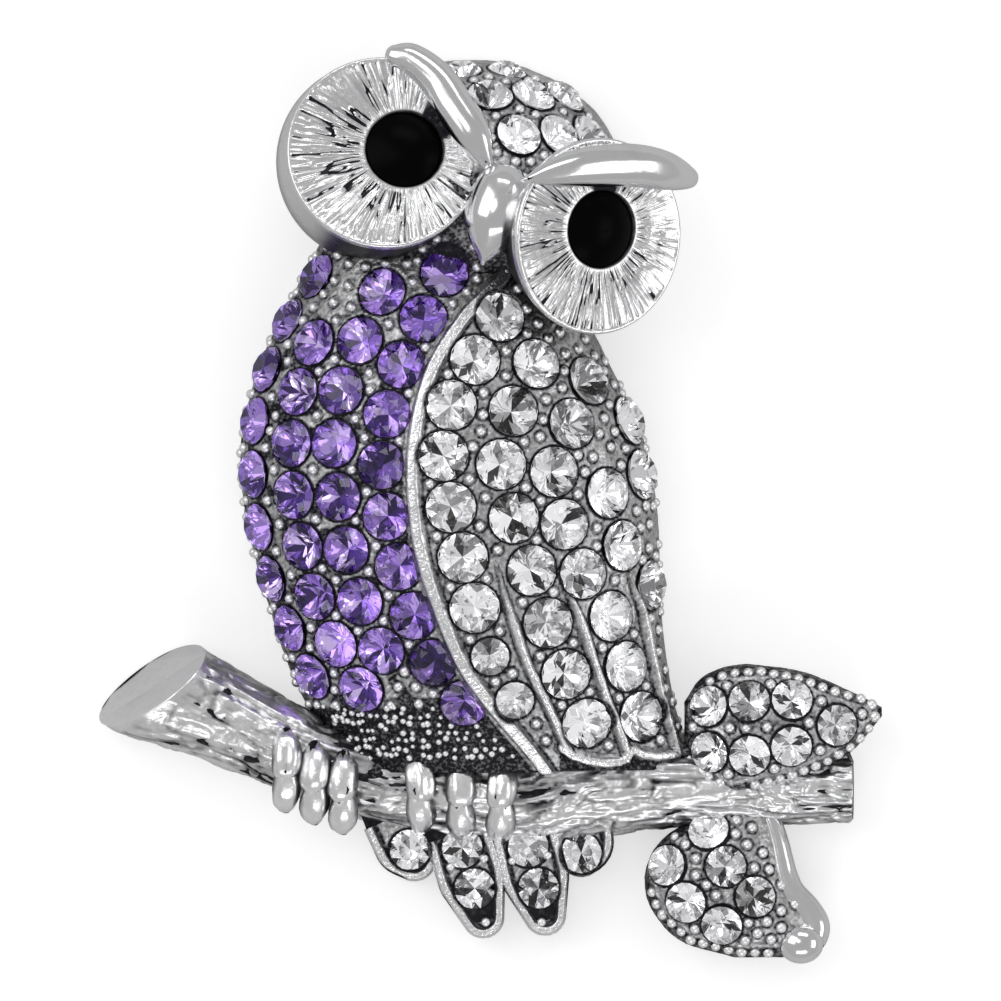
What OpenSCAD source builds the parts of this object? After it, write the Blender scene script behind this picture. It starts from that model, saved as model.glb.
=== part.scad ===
// A brooch: an owl that sits on a branch with two leaves, set with stones. It lies on its back, so the face looks
// up along +Z, the head points along +Y, and the surface that it lies on is z = 0.

/* [Body] */
// Length of the body from the branch to the neck
body_len = 29; // [25:0.5:34]
// Greatest width of the body
body_w = 22.9; // [20:0.1:27]
// Height of the breast above the back
body_h = 8.4; // [7:0.1:10.5]
// Height of the straight side of the body below its arch
side_h = 1.6; // [1:0.1:2.4]
// Thickness of the cast walls round the hollow back
wall = 1.9; // [1.7:0.1:2.4]

/* [Head] */
// Width of the crown of the head
head_w = 17.2; // [15:0.1:20]
// Length of the crown of the head
head_len = 14.2; // [12.5:0.1:17]
// Height of the crown of the head above the back
head_h = 9.3; // [8:0.1:11.5]
// Diameter of the eye discs
disc_d = 10.6; // [9.5:0.1:12]
// Height of the eye discs above the back
disc_h = 9.4; // [8.4:0.1:11.5]
// Thickness of the eye discs down to their foot
disc_t = 5; // [4.6:0.1:6]
// Width of the brow ridges
brow_w = 2.1; // [1.6:0.1:2.6]
// Height of the brow ridges above the eye discs
brow_h = 1.1; // [0.8:0.1:1.6]
// Length of the beak
beak_len = 5.2; // [4.2:0.1:6.2]
// Width of the beak
beak_w = 3.1; // [2.4:0.1:3.8]

/* [Wing] */
// Width of the smooth rim along the leading edge of the wing
rim_w = 0.7; // [0.5:0.1:1]
// Height of the rim and of the feather ridges above the wing
rim_h = 0.45; // [0.3:0.05:0.8]
// Width of the ridges between the wing feathers
ridge_w = 0.7; // [0.5:0.1:1]

/* [Tail] */
// Length of the tail below the branch
tail_len = 8.6; // [7.5:0.1:10]
// Width of one tail feather
feather_w = 3.7; // [3.2:0.1:4.4]
// Thickness of the tail feathers
feather_t = 2.2; // [1.8:0.1:2.8]

/* [Branch] */
// Length of the branch
branch_len = 38.8; // [36:0.1:44]
// Thickness of the branch
branch_d = 4.9; // [4.2:0.1:6]
// Width of one toe
toe_w = 1.55; // [1.2:0.05:1.8]

/* [Leaves] */
// Length of the upper leaf
upper_leaf_len = 10.9; // [9.5:0.1:13]
// Width of the upper leaf
upper_leaf_w = 7.1; // [6.2:0.1:8.5]
// Length of the lower leaf
lower_leaf_len = 9.3; // [8.5:0.1:11]
// Width of the lower leaf
lower_leaf_w = 8.8; // [8:0.1:10.5]
// Thickness of the leaves
leaf_t = 2.9; // [2.4:0.1:3.6]
// Thickness of the rolled edge of the lower leaf
roll_d = 1.4; // [1:0.1:1.8]

/* [Stones] */
// Diameter of the violet breast stones
breast_stone_d = 2.55; // [2.2:0.05:2.8]
// Diameter of the clear wing stones
wing_stone_d = 2.7; // [2.3:0.05:3]
// Diameter of the small wing stones at the tip of the first feather
tip_stone_d = 2.05; // [1.8:0.05:2.3]
// Diameter of the stones on the head
head_stone_d = 2.45; // [2:0.05:2.7]
// Diameter of the stones on the leaves
leaf_stone_d = 2.2; // [1.9:0.05:2.3]
// Diameter of the stones on the tail
tail_stone_d = 2.2; // [1.8:0.05:2.4]
// Diameter of the black eye stones
eye_d = 4.2; // [3.6:0.1:4.8]
// Gap between neighbouring stones of one row on the head, a leaf or a tail feather
stone_gap = 0.18; // [0.14:0.02:0.26]
// Clearance between a stone and its seat
seat_gap = 0.085; // [0.05:0.005:0.12]

/* [Pin] */
// Length of the bar that carries the pin
bar_len = 20; // [17:0.5:21]
// Width of the bar
bar_w = 3.2; // [2.6:0.1:4]
// Thickness of the bar
bar_t = 0.8; // [0.6:0.1:1]
// Diameter of the pin stem
stem_d = 0.9; // [0.7:0.05:1.1]
// Width of the straps that carry the bar
strap_w = 3.6; // [3:0.1:5]
// Thickness of the straps
strap_t = 1.1; // [0.9:0.1:1.5]
// Height of the straps above the back
strap_z = 3.7; // [3.4:0.1:4]
// Gap between the bar and the straps
solder_gap = 0.05; // [0.02:0.01:0.1]

/* [Hidden] */

// Columns of the tables of sections: how far along the section lies as a share of the length, its middle as a share
// of the width, its half width as a share of half the width, and its height as a share of the height
AT = 0;
MID = 1;
HALF = 2;
HIGH = 3;
// The body, from the branch up to the neck
BODY = [
    [0.00, 0.060, 0.83, 0.66],
    [0.15, -0.022, 0.90, 0.85],
    [0.30, -0.070, 0.945, 0.95],
    [0.50, -0.108, 1.00, 1.00],
    [0.65, -0.130, 0.965, 1.00],
    [0.80, -0.148, 0.82, 0.95],
    [1.00, -0.145, 0.57, 0.80]
];
// The upper leaf, from its stalk to its tip
UPPER_LEAF = [
    [0.00, 0.00, 0.30, 0.40],
    [0.08, 0.04, 0.74, 0.68],
    [0.24, 0.065, 1.00, 0.95],
    [0.42, 0.03, 0.92, 1.00],
    [0.62, 0.01, 0.77, 0.95],
    [0.84, 0.00, 0.47, 0.75],
    [1.00, -0.08, 0.06, 0.45]
];
// The lower leaf, from its stalk to its end
LOWER_LEAF = [
    [0.00, 0.00, 0.12, 0.50],
    [0.12, 0.022, 0.33, 0.75],
    [0.27, 0.136, 0.68, 0.92],
    [0.42, 0.18, 0.84, 1.00],
    [0.60, 0.165, 0.92, 1.00],
    [0.78, 0.05, 0.98, 0.95],
    [0.92, -0.03, 0.79, 0.75],
    [1.00, -0.09, 0.30, 0.45]
];
// The leading edge of the wing: how far up the body, and how far across it, from -1 at its left side to 1
WING_EDGE = [
    [0.00, 0.155], [0.048, 0.10], [0.105, 0.033], [0.20, -0.07], [0.307, -0.13], [0.42, -0.169], [0.52, -0.168],
    [0.613, -0.144], [0.709, -0.08], [0.795, 0.036], [0.878, 0.24], [0.94, 0.50], [1.00, 0.72]
];
// The columns of stones on the body, each with its number of stones and the line that they follow: how far up the
// body, and how far across it, from -1 at its left side to 1. The breast has four, from the wing outward
BREAST_COLUMNS = [
    [10, [[0.13, -0.14], [0.205, -0.23], [0.385, -0.295], [0.58, -0.31], [0.77, -0.195], [0.95, 0.075]]],
    [9, [[0.142, -0.43], [0.31, -0.525], [0.52, -0.537], [0.72, -0.518], [0.914, -0.37]]],
    [9, [[0.156, -0.665], [0.325, -0.75], [0.43, -0.75], [0.62, -0.75], [0.815, -0.73], [0.902, -0.65]]],
    [9, [[0.18, -0.90], [0.276, -0.93], [0.37, -0.95], [0.57, -0.94], [0.76, -0.95], [0.856, -0.95], [0.945, -0.90]]]
];
// The wing has five, of which the first three run between its feathers
WING_COLUMNS = [
    [9, [[0.135, 0.14], [0.21, 0.08], [0.40, 0.03], [0.592, -0.005], [0.693, 0.06], [0.78, 0.225], [0.866, 0.43]]],
    [8, [[0.091, 0.487], [0.178, 0.455], [0.38, 0.364], [0.483, 0.30], [0.582, 0.27], [0.682, 0.373], [0.777, 0.58]]],
    [8, [[0.103, 0.80], [0.199, 0.78], [0.30, 0.735], [0.395, 0.59], [0.49, 0.535], [0.592, 0.54], [0.745, 0.84]]],
    [3, [[0.43, 0.82], [0.529, 0.77], [0.635, 0.825]]],
    [4, [[0.354, 0.955], [0.456, 0.95], [0.567, 0.95], [0.669, 0.96]]]
];
// Below this share of the body's length the first wing column has the small stones
TIP_SHARE = 0.23;
// The share of the body's length where the ridges between the feathers begin and reach their full width
RIDGE_FROM = 0.42;
RIDGE_FULL = 0.28;
RIDGES = 3;
// The rows of stones on the head: where each one starts across the head and up it, as shares of its width and length,
// how many stones it has, and their size as a share
HEAD_ROWS = [[0.157, 0.196, 3, 1.0], [0.065, 0.352, 3, 1.0], [-0.026, 0.45, 2, 0.85]];

// The branch, from its cut end: how far along it, its rise as a share of the length, its radius as a share
BRANCH = [
    [-0.04, 0.170, 1.32], [0.00, 0.151, 1.30], [0.06, 0.123, 1.12], [0.137, 0.086, 1.00], [0.25, 0.036, 0.95],
    [0.394, 0.00, 0.95], [0.52, -0.007, 1.00], [0.67, 0.00, 0.93], [0.78, 0.00, 0.86], [1.00, 0.00, 0.70]
];
// Each foot: where its middle toe grips the branch as a share of the length, the toes' pitch in toe widths, and how far
// it hangs below the middle of the branch as a share of the branch's thickness
FEET = [[0.2285, 1.03, 0.16], [0.437, 1.45, -0.05]];
// The two parts of a toe, each from its root to its end: the angle round the branch from the front, and its radius
// there as a share of half the toe's width
TOE = [[[36, 0.5], [22, 0.86], [-6, 1.00]], [[-18, 0.80], [-44, 0.95], [-74, 0.52]]];

// The brow ridges: each point from the middle of the eye disc, as shares of the disc's radius, with the half width
LEFT_BROW = [
    [0.07, 1.02, 0.12], [0.28, 1.00, 0.50], [0.54, 0.77, 0.85], [0.74, 0.46, 1.00], [0.92, 0.18, 0.95],
    [1.06, -0.11, 0.45]
];
RIGHT_BROW = [
    [-0.74, 0.58, 0.18], [-0.45, 0.66, 0.70], [-0.15, 0.72, 1.00], [0.15, 0.74, 1.08], [0.47, 0.73, 1.05],
    [0.72, 0.69, 0.88], [0.97, 0.60, 0.30]
];
// The beak from its root to its tip: how far along it, its half width as a share, its rise as a share of its width
BEAK = [
    [0.00, 0.20, 0.0], [0.14, 0.70, 0.2], [0.38, 1.00, 0.45], [0.62, 0.94, 0.5], [0.84, 0.55, 0.3], [1.00, 0.08, 0.0]
];

// The middle of the crown of the head, from the upper end of the body
head_x = body_w * BODY[6][MID] + 0.112 * head_w;
head_y = body_len + 0.24 * head_len;
// Each eye disc: its middle, where its foot stands, how far it leans right and up, where its eye sits in it, and the
// width of its foot
LEFT_DISC = [
    [head_x - 0.274 * head_w, head_y + 0.125 * head_len], [-0.08, -0.08], [7, 13], [0.22, 0.05], 1.05
];
RIGHT_DISC = [
    [head_x + 0.413 * head_w, head_y - 0.2 * head_len], [-0.24, 0.04], [33, -4], [0.07, 0.07], 0.8
];
// Depth of the dished face of an eye disc
dish = 0.5;
// The root of the beak and the direction that it points in
beak_x = head_x + 0.12 * head_w;
beak_y = head_y + 0.06 * head_len;
beak_turn = -104.5;

// The branch's line: its left end, its height on the brooch and its middle above the back
branch_x = -0.487 * branch_len;
branch_y = -0.225 * branch_d;
branch_z = 0.4 * branch_d;
// The slanted cut of its left end
cut_turn = 128;
cut_lean = 20;

// Where the leaves grow from the branch, their height above the back, and how thick their edge is
upper_leaf_at = [branch_x + 0.7593 * branch_len, branch_y + 0.77 * branch_d];
lower_leaf_at = [branch_x + 0.8453 * branch_len, branch_y];
upper_leaf_z = 2.3;
lower_leaf_z = 1.3;
leaf_edge = 1.0;
// The rows of stones on each leaf, from the stalk on: points along the leaf and across its half width
UPPER_LEAF_ROWS = [[[0.115, -0.42], [0.6, -0.47]], [[0.12, 0.44], [0.6, 0.40]], [[0.77, 0.05], [0.80, 0.05]]];
LOWER_LEAF_ROWS = [[[0.24, 0.38], [0.45, -0.12], [0.70, -0.55]], [[0.45, 0.74], [0.70, 0.50], [0.86, 0.12]]];

// The tail feathers: root as a share of the feather width from the body's middle, lean from straight down, length
// as a share of the tail, height of the lower face, number of stones, and how far the lowest stone lies above the tip
// as a share of the feather width
FEATHERS = [
    [-1.36, 24, 0.64, 0.3, 1, 0.50], [1.55, 4, 0.57, 0.35, 1, 0.37], [-0.44, 17, 1.00, 0.9, 2, 0.77],
    [0.606, 14, 0.97, 0.95, 2, 0.73]
];
tail_x = -1.2;

// Proportions of a cut stone: its table, its height over the girdle and its depth under it, as shares of its width
FACETS = 8;
TABLE = 0.56;
CROWN = 0.20;
PAVILION = 0.42;

// The overall outline, from which the brooch is centred on its own middle
left_end = branch_x - 0.073 * branch_len;
right_end = upper_leaf_at[0] + upper_leaf_len;
top_end = LEFT_DISC[0][1] + 0.5 * disc_d * 1.02 + 0.25 * brow_w;
low_end = lower_leaf_at[1] - lower_leaf_len - 0.28 * roll_d;
middle = [(left_end + right_end) / 2, (top_end + low_end) / 2, 0];

// A value out of a table at share t, along a smooth curve through its rows
function slope_at(rows, i, col) =
    let (a = rows[max(i - 1, 0)], b = rows[min(i + 1, len(rows) - 1)])
    (b[col] - a[col]) / (b[AT] - a[AT]);
function row_below(rows, t, i = 0) =
    i >= len(rows) - 2 || rows[i + 1][AT] > t ? i : row_below(rows, t, i + 1);
function smooth(rows, t, col) =
    let (
        i = row_below(rows, t),
        a = rows[i],
        b = rows[i + 1],
        span = b[AT] - a[AT],
        u = (t - a[AT]) / span,
        low = slope_at(rows, i, col) * span,
        high = slope_at(rows, i + 1, col) * span
    )
    a[col] * (2 * u ^ 3 - 3 * u ^ 2 + 1) + b[col] * (3 * u ^ 2 - 2 * u ^ 3)
        + low * (u ^ 3 - 2 * u ^ 2 + u) + high * (u ^ 3 - u ^ 2);

// A dome is [rows, length, width, height, edge]: its sections stand across its length, and each one is an arch on
// two straight sides of the height edge, which lean in toward the back by the draft of the casting
DRAFT = 0.98;
BODY_DOME = [BODY, body_len, body_w, body_h, side_h];
UPPER_DOME = [UPPER_LEAF, upper_leaf_len, upper_leaf_w, leaf_t, leaf_edge];
LOWER_DOME = [LOWER_LEAF, lower_leaf_len, lower_leaf_w, leaf_t, leaf_edge];
function dome_mid(dome, t) = dome[2] * smooth(dome[0], t, MID);
function dome_half(dome, t) = dome[2] / 2 * smooth(dome[0], t, HALF);
function dome_top(dome, t) = dome[3] * smooth(dome[0], t, HIGH);
function dome_x(dome, t, across) = dome_mid(dome, t) + across * dome_half(dome, t);
function dome_z(dome, x, y) =
    let (t = y / dome[1], across = (x - dome_mid(dome, t)) / dome_half(dome, t))
    dome[4] + (dome_top(dome, t) - dome[4]) * sqrt(max(1 - across * across, 0));
// The crown of the head is half an ellipsoid
function head_z(x, y) =
    head_h * sqrt(max(1 - ((x - head_x) / head_w * 2) ^ 2 - ((y - head_y) / head_len * 2) ^ 2, 0));
// Height of a surface, where an empty dome stands for the head
function surface_z(dome, x, y) = len(dome) > 0 ? dome_z(dome, x, y) : head_z(x, y);

// Closed skin over a stack of rings with as many points each, which run counterclockwise seen from the last ring
module skin(rings) {
    n = len(rings[0]);
    last = (len(rings) - 1) * n;
    sides = [
        for (j = [0 : len(rings) - 2], i = [0 : n - 1])
            [j * n + i, j * n + (i + 1) % n, (j + 1) * n + (i + 1) % n, (j + 1) * n + i]
    ];
    polyhedron([for (ring = rings, p = ring) p], concat(
        [[for (i = [n - 1 : -1 : 0]) i]], sides, [[for (i = [0 : n - 1]) last + i]]
    ));
}

// The solid of a dome between two shares of its length, down to the height foot, with its outer side moved inward
module dome_solid(dome, from, to, sections, arches, foot, inset = 0) {
    skin([
        for (j = [0 : sections])
            let (
                t = from + (to - from) * j / sections,
                mid = dome_mid(dome, t),
                half = dome_half(dome, t) - inset,
                edge = max(dome[4] - inset, 0.3),
                top = dome_top(dome, t) - inset
            )
            concat(
                [[mid + DRAFT * half, t * dome[1], foot]],
                [
                    for (i = [0 : arches])
                        [mid + half * cos(180 * i / arches), t * dome[1], edge + (top - edge) * sin(180 * i / arches)]
                ],
                [[mid - DRAFT * half, t * dome[1], foot]]
            )
    ]);
}

// A rounded ridge along a path of points, each with its half width and half height
module ridge(path, half_w, half_h, sides = 8) {
    last = len(path) - 1;
    skin([
        for (i = [0 : last])
            let (
                ahead = path[min(i + 1, last)] - path[max(i - 1, 0)],
                side = [ahead[1], -ahead[0], 0] / norm([ahead[0], ahead[1]])
            )
            [
                for (k = [0 : sides - 1])
                    let (a = 360 * (k + 0.5) / sides)
                    path[i] + side * half_w[i] * cos(a) + [0, 0, half_h[i] * sin(a)]
            ]
    ]);
}

// Stones

// Running length along a list of points, and the points that lie at each whole pitch along it
function lengths(points, i = 0, sum = 0) =
    i >= len(points) - 1 ? [sum] : concat([sum], lengths(points, i + 1, sum + norm(points[i + 1] - points[i])));
function at_length(points, runs, s, i = 0) =
    i >= len(points) - 2 || runs[i + 1] > s
        ? points[i] + (points[i + 1] - points[i]) * (s - runs[i]) / (runs[i + 1] - runs[i])
        : at_length(points, runs, s, i + 1);
function walk(points, pitch) =
    let (runs = lengths(points), total = runs[len(runs) - 1])
    [for (k = [0 : floor(total / pitch)]) at_length(points, runs, k * pitch)];

function edge_x(t) = dome_x(BODY_DOME, t, smooth(WING_EDGE, t, 1));
function edge_stretch(t) =
    let (run = (edge_x(t + 0.02) - edge_x(t - 0.02)) / (0.04 * body_len))
    sqrt(1 + min(run * run, 1.6));
// How far across the body a column lies at share t of its length, and its points from the top down
function column_across(c, t) = smooth(c[1], min(max(t, c[1][0][AT]), c[1][len(c[1]) - 1][AT]), 1);
function column(c) =
    [
        for (i = [30 : -1 : 0])
            let (
                t = c[1][0][AT] + (c[1][len(c[1]) - 1][AT] - c[1][0][AT]) * i / 30,
                x = dome_x(BODY_DOME, t, column_across(c, t)),
                y = t * body_len
            )
            [x, y, dome_z(BODY_DOME, x, y)]
    ];
// So many points spread evenly along a list of points
function spread(points, count) =
    let (runs = lengths(points), total = runs[len(runs) - 1])
    [for (k = [0 : count - 1]) at_length(points, runs, k * total / (count - 1))];

// The stones of a list that keep clear of all the ones before them
STONE_CLEAR = 0.11;
function spaced(list, i = 0, kept = []) =
    i >= len(list) ? kept
    : let (
        near = [
            for (s = kept) if (norm(s[0] - list[i][0]) < (s[1] + list[i][1]) / 2 + STONE_CLEAR) 1
        ]
    )
    spaced(list, i + 1, len(near) > 0 ? kept : concat(kept, [list[i]]));

// Each stone is [point on the surface, width]
BREAST_STONES = spaced([for (c = BREAST_COLUMNS, p = spread(column(c), c[0])) [p, breast_stone_d]]);
WING_STONES = spaced([
    for (k = [0 : len(WING_COLUMNS) - 1], p = spread(column(WING_COLUMNS[k]), WING_COLUMNS[k][0]))
        [p, k == 0 && p[1] < TIP_SHARE * body_len ? tip_stone_d : wing_stone_d]
]);
head_pitch = head_stone_d + stone_gap;
function head_row(row) =
    let (x = head_x + row[0] * head_w, y = head_y + row[1] * head_len)
    [for (i = [0 : 40]) let (u = x + i * 0.25) if (head_z(u, y) > 0) [u, y, head_z(u, y)]];
HEAD_STONES = [
    for (row = HEAD_ROWS)
        let (places = walk(head_row(row), head_pitch))
        each [for (i = [0 : row[2] - 1]) [places[i], row[3] * head_stone_d]]
];
function leaf_points(dome, row) =
    let (runs = [for (i = [0 : len(row) - 1]) row[i]])
    [
        for (i = [0 : len(runs) - 2], k = [0 : 8])
            let (
                share = runs[i] + (runs[i + 1] - runs[i]) * k / 8,
                x = dome_x(dome, share[0], share[1]),
                y = share[0] * dome[1]
            )
            if (k < 8 || i == len(runs) - 2) [x, y, dome_z(dome, x, y)]
    ];
leaf_pitch = leaf_stone_d + stone_gap;
function leaf_stones(dome, rows) =
    [for (row = rows) each [for (p = walk(leaf_points(dome, row), leaf_pitch)) [p, leaf_stone_d]]];

// Moves what it draws at the surface point p, so that its +Z looks straight out of the surface
module on_surface(dome, p) {
    step = 0.05;
    dx = (surface_z(dome, p[0] + step, p[1]) - surface_z(dome, p[0] - step, p[1])) / step / 2;
    dy = (surface_z(dome, p[0], p[1] + step) - surface_z(dome, p[0], p[1] - step)) / step / 2;
    translate(p) rotate([0, atan(norm([dx, dy])), atan2(-dy, -dx)]) children();
}
// A cut stone with its girdle at the surface: its width, the width and height of its table, and its depth
module gem(d, table_d, rise, deep) {
    function ring(r, z) = [for (i = [0 : FACETS - 1]) [r * cos(360 * i / FACETS), r * sin(360 * i / FACETS), z]];
    points = concat([[0, 0, -deep]], ring(d / 2, 0), ring(table_d / 2, rise));
    polyhedron(points, concat(
        [for (i = [0 : FACETS - 1]) [0, 1 + i, 1 + (i + 1) % FACETS]],
        [
            for (i = [0 : FACETS - 1])
                [1 + i, 1 + FACETS + i, 1 + FACETS + (i + 1) % FACETS, 1 + (i + 1) % FACETS]
        ],
        [[for (i = [FACETS - 1 : -1 : 0]) 1 + FACETS + i]]
    ));
}
module stone(d) {
    gem(d, TABLE * d, CROWN * d, PAVILION * d);
}
// The seat that is cut for it, which is open above it
module seat(d) {
    gem(d + 2 * seat_gap, 1.03 * (d + 2 * seat_gap), CROWN * d + seat_gap, PAVILION * d + 1.5 * seat_gap);
}
module stones(dome, list) {
    for (s = list) on_surface(dome, s[0]) stone(s[1]);
}
module seats(dome, list) {
    for (s = list) on_surface(dome, s[0]) seat(s[1]);
}

// The head

// Puts what it draws on the face of an eye disc
module on_disc(disc) {
    translate([disc[0][0], disc[0][1], disc_h]) rotate([-disc[2][1], disc[2][0], 0]) children();
}
module eye_disc(disc) {
    foot = disc[0] + disc[1] * disc_d / 2;
    hull() {
        on_disc(disc) translate([0, 0, -0.6]) cylinder(d = disc_d, h = 0.6, $fn = 26);
        translate([foot[0], foot[1], disc_h - disc_t]) cylinder(d = disc[4] * disc_d, h = 0.4, $fn = 22);
    }
}
// The dished face of an eye disc, which is also cut from the crown of the head behind it, and the seat of its stone
module eye_cut(disc) {
    on_disc(disc) translate([0, 0, -dish]) cylinder(r1 = disc_d * 0.1, r2 = disc_d * 0.6, h = dish * 1.3, $fn = 22);
    on_disc(disc) eye_place(disc) translate([0, 0, -0.8]) cylinder(r = eye_d / 2 + seat_gap, h = 3, $fn = 24);
}
module eye_place(disc) {
    translate([disc[3][0] * disc_d / 2, disc[3][1] * disc_d / 2, -0.35]) children();
}
// A black stone: a low dome over a short straight edge
module eye_stone(disc) {
    rise = 0.16 * eye_d;
    ball = (eye_d * eye_d / 4 + rise * rise) / (2 * rise);
    on_disc(disc) eye_place(disc) intersection() {
        translate([0, 0, -0.7]) cylinder(d = eye_d, h = 3, $fn = 64);
        translate([0, 0, rise - ball]) sphere(r = ball, $fn = 96);
    }
}
module brow(disc, points) {
    lean_x = tan(disc[2][0]);
    lean_y = tan(disc[2][1]);
    path = [
        for (p = points)
            let (x = p[0] * disc_d / 2, y = p[1] * disc_d / 2)
            [disc[0][0] + x, disc[0][1] + y, disc_h - x * lean_x - y * lean_y + 0.1]
    ];
    ridge(path, [for (p = points) p[2] * brow_w / 2], [for (p = points) max(p[2], 0.35) * brow_h], 10);
}
module beak() {
    path = [
        for (b = BEAK)
            [beak_x + b[0] * beak_len * cos(beak_turn), beak_y + b[0] * beak_len * sin(beak_turn), disc_h + 0.2 * b[2]]
    ];
    ridge(path, [for (b = BEAK) b[1] * beak_w / 2], [for (b = BEAK) max(b[1], 0.2) * beak_w / 2], 10);
}
// Half an ellipsoid with these radii, down to the height foot
module crown(radii, foot) {
    rings = 8;
    arches = 10;
    skin([
        for (j = [0 : rings])
            let (turn = -84 + 168 * j / rings, y = head_y + radii[1] * sin(turn))
            concat(
                [[head_x + DRAFT * radii[0] * cos(turn), y, foot]],
                [
                    for (i = [0 : arches])
                        let (a = 180 * (i + (j % 2) * 0.4) / (arches + 0.4))
                        [
                            head_x + radii[0] * cos(turn) * cos(a), y,
                            max(foot, 0) + 0.1 + (radii[2] - max(foot, 0) - 0.1) * cos(turn) * sin(a)
                        ]
                ],
                [[head_x - DRAFT * radii[0] * cos(turn), y, foot]]
            )
    ]);
}
module head() {
    difference() {
        union() {
            crown([head_w / 2, head_len / 2, head_h], 0.1);
            eye_disc(LEFT_DISC);
            eye_disc(RIGHT_DISC);
        }
        eye_cut(LEFT_DISC);
        eye_cut(RIGHT_DISC);
    }
    brow(LEFT_DISC, LEFT_BROW);
    brow(RIGHT_DISC, RIGHT_BROW);
    beak();
}
module head_hollow() {
    wide = min(head_w, head_len) / 2 - wall;
    translate([head_x, head_y, -1]) rotate(5)
        cylinder(r1 = wide, r2 = 0.7 * wide, h = disc_h - disc_t + 0.7, $fn = 14);
}

// The body

// How much of their height the ridges between the feathers have at share t of the body's length
function ridge_share(t) = min(max((RIDGE_FROM - t) / (RIDGE_FROM - RIDGE_FULL), 0), 1);
// One section of the body at share t: points at angles along its arch, where the rim of the wing and the ridges
// between its feathers stand out of it
function body_section(t) =
    let (
        mid = dome_mid(BODY_DOME, t),
        half = dome_half(BODY_DOME, t),
        rise = dome_top(BODY_DOME, t) - side_h,
        edge = acos(-smooth(WING_EDGE, t, 1)),
        rim = rim_w / 2 * edge_stretch(t) / norm([half * sin(edge), rise * cos(edge)]) * 180 / PI,
        open = ridge_share(t),
        lows = [for (k = [1 : RIDGES]) edge + rim + 5 * k],
        highs = [for (k = [1 : RIDGES]) 178 - 6 * (RIDGES + 1 - k)],
        tops = [
            for (k = [1 : RIDGES])
                let (
                    outer = k < RIDGES ? column_across(WING_COLUMNS[k], t) : 1.05,
                    across = min((column_across(WING_COLUMNS[k - 1], t) + outer) / 2, 1)
                )
                min(max(acos(-across), lows[k - 1]), highs[k - 1])
        ],
        feet = [
            for (a = tops) max(open, 0.3) * ridge_w / 2 / norm([half * sin(a), rise * cos(a)]) * 180 / PI
        ],
        stops = concat([edge + rim], [for (k = [0 : RIDGES - 1]) each [tops[k] - feet[k], tops[k] + feet[k]]], [180]),
        points = concat(
            [for (i = [0 : 6]) [(edge - rim) * i / 7, 0]],
            [[edge - rim, 0], [edge - rim / 3, rim_h], [edge + rim / 3, rim_h]],
            [
                for (k = [0 : RIDGES])
                    each concat(
                        [[stops[2 * k], 0], [(stops[2 * k] + stops[2 * k + 1]) / 2, 0], [stops[2 * k + 1], 0]],
                        k < RIDGES ? [[tops[k], open * rim_h]] : []
                    )
            ]
        )
    )
    concat(
        [[mid + DRAFT * half, t * body_len, 0]],
        [
            for (i = [len(points) - 1 : -1 : 0])
                let (
                    p = points[i],
                    out = [-cos(p[0]) * rise, sin(p[0]) * half],
                    at = [mid - half * cos(p[0]), side_h + rise * sin(p[0])] + p[1] * out / norm(out)
                )
                [at[0], t * body_len, at[1]]
        ],
        [[mid - DRAFT * half, t * body_len, 0]]
    );
module body() {
    sections = 26;
    neck = body_section(1);
    inner = [head_x, body_len + 1.6, 2.3];
    skin(concat(
        [for (j = [0 : sections]) body_section(j / sections)],
        [[for (p = neck) [inner[0] + 0.3 * (p[0] - inner[0]), inner[1], inner[2] + 0.3 * (p[2] - inner[2])]]]
    ));
}
module body_seats() {
    seats(BODY_DOME, BREAST_STONES);
    seats(BODY_DOME, WING_STONES);
}
hollow_from = (branch_d * 0.3 + wall) / body_len;
HOLLOW_TO = 0.86;
module body_hollow() {
    dome_solid(BODY_DOME, hollow_from, HOLLOW_TO, 11, 12, -2, wall);
}
// Straps that bridge the hollow and carry the bar of the pin
STRAP_AT = [0.3, 0.72];
module straps() {
    for (t = STRAP_AT) {
        half = dome_half(BODY_DOME, t) - wall / 2;
        translate([dome_mid(BODY_DOME, t) - half, t * body_len - strap_w / 2, strap_z])
            cube([2 * half, strap_w, strap_t]);
    }
}

// The tail

module feather_at(f) {
    translate([tail_x + f[0] * feather_w, branch_y, f[3]]) rotate(f[1]) children();
}
module feather(f) {
    tip = tail_len * f[2];
    round_d = 0.62 * feather_w;
    feather_at(f) hull() {
        translate([-feather_w * 0.45, -tip * 0.45, 0]) cube([feather_w * 0.9, tip * 0.45, feather_t]);
        translate([0, -tip * 0.6, 0]) cylinder(d = feather_w, h = feather_t, $fn = 24);
        translate([0, round_d / 2 - tip, 0]) cylinder(d = round_d, h = feather_t * 0.8, $fn = 20);
    }
}
function feather_stones(f) =
    [for (k = [0 : f[4] - 1]) [0, f[5] * feather_w - f[2] * tail_len + k * (tail_stone_d + stone_gap), feather_t]];
module feather_seats(f) {
    feather_at(f) {
        for (p = feather_stones(f)) translate(p) seat(tail_stone_d);
    }
}

// The branch

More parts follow.
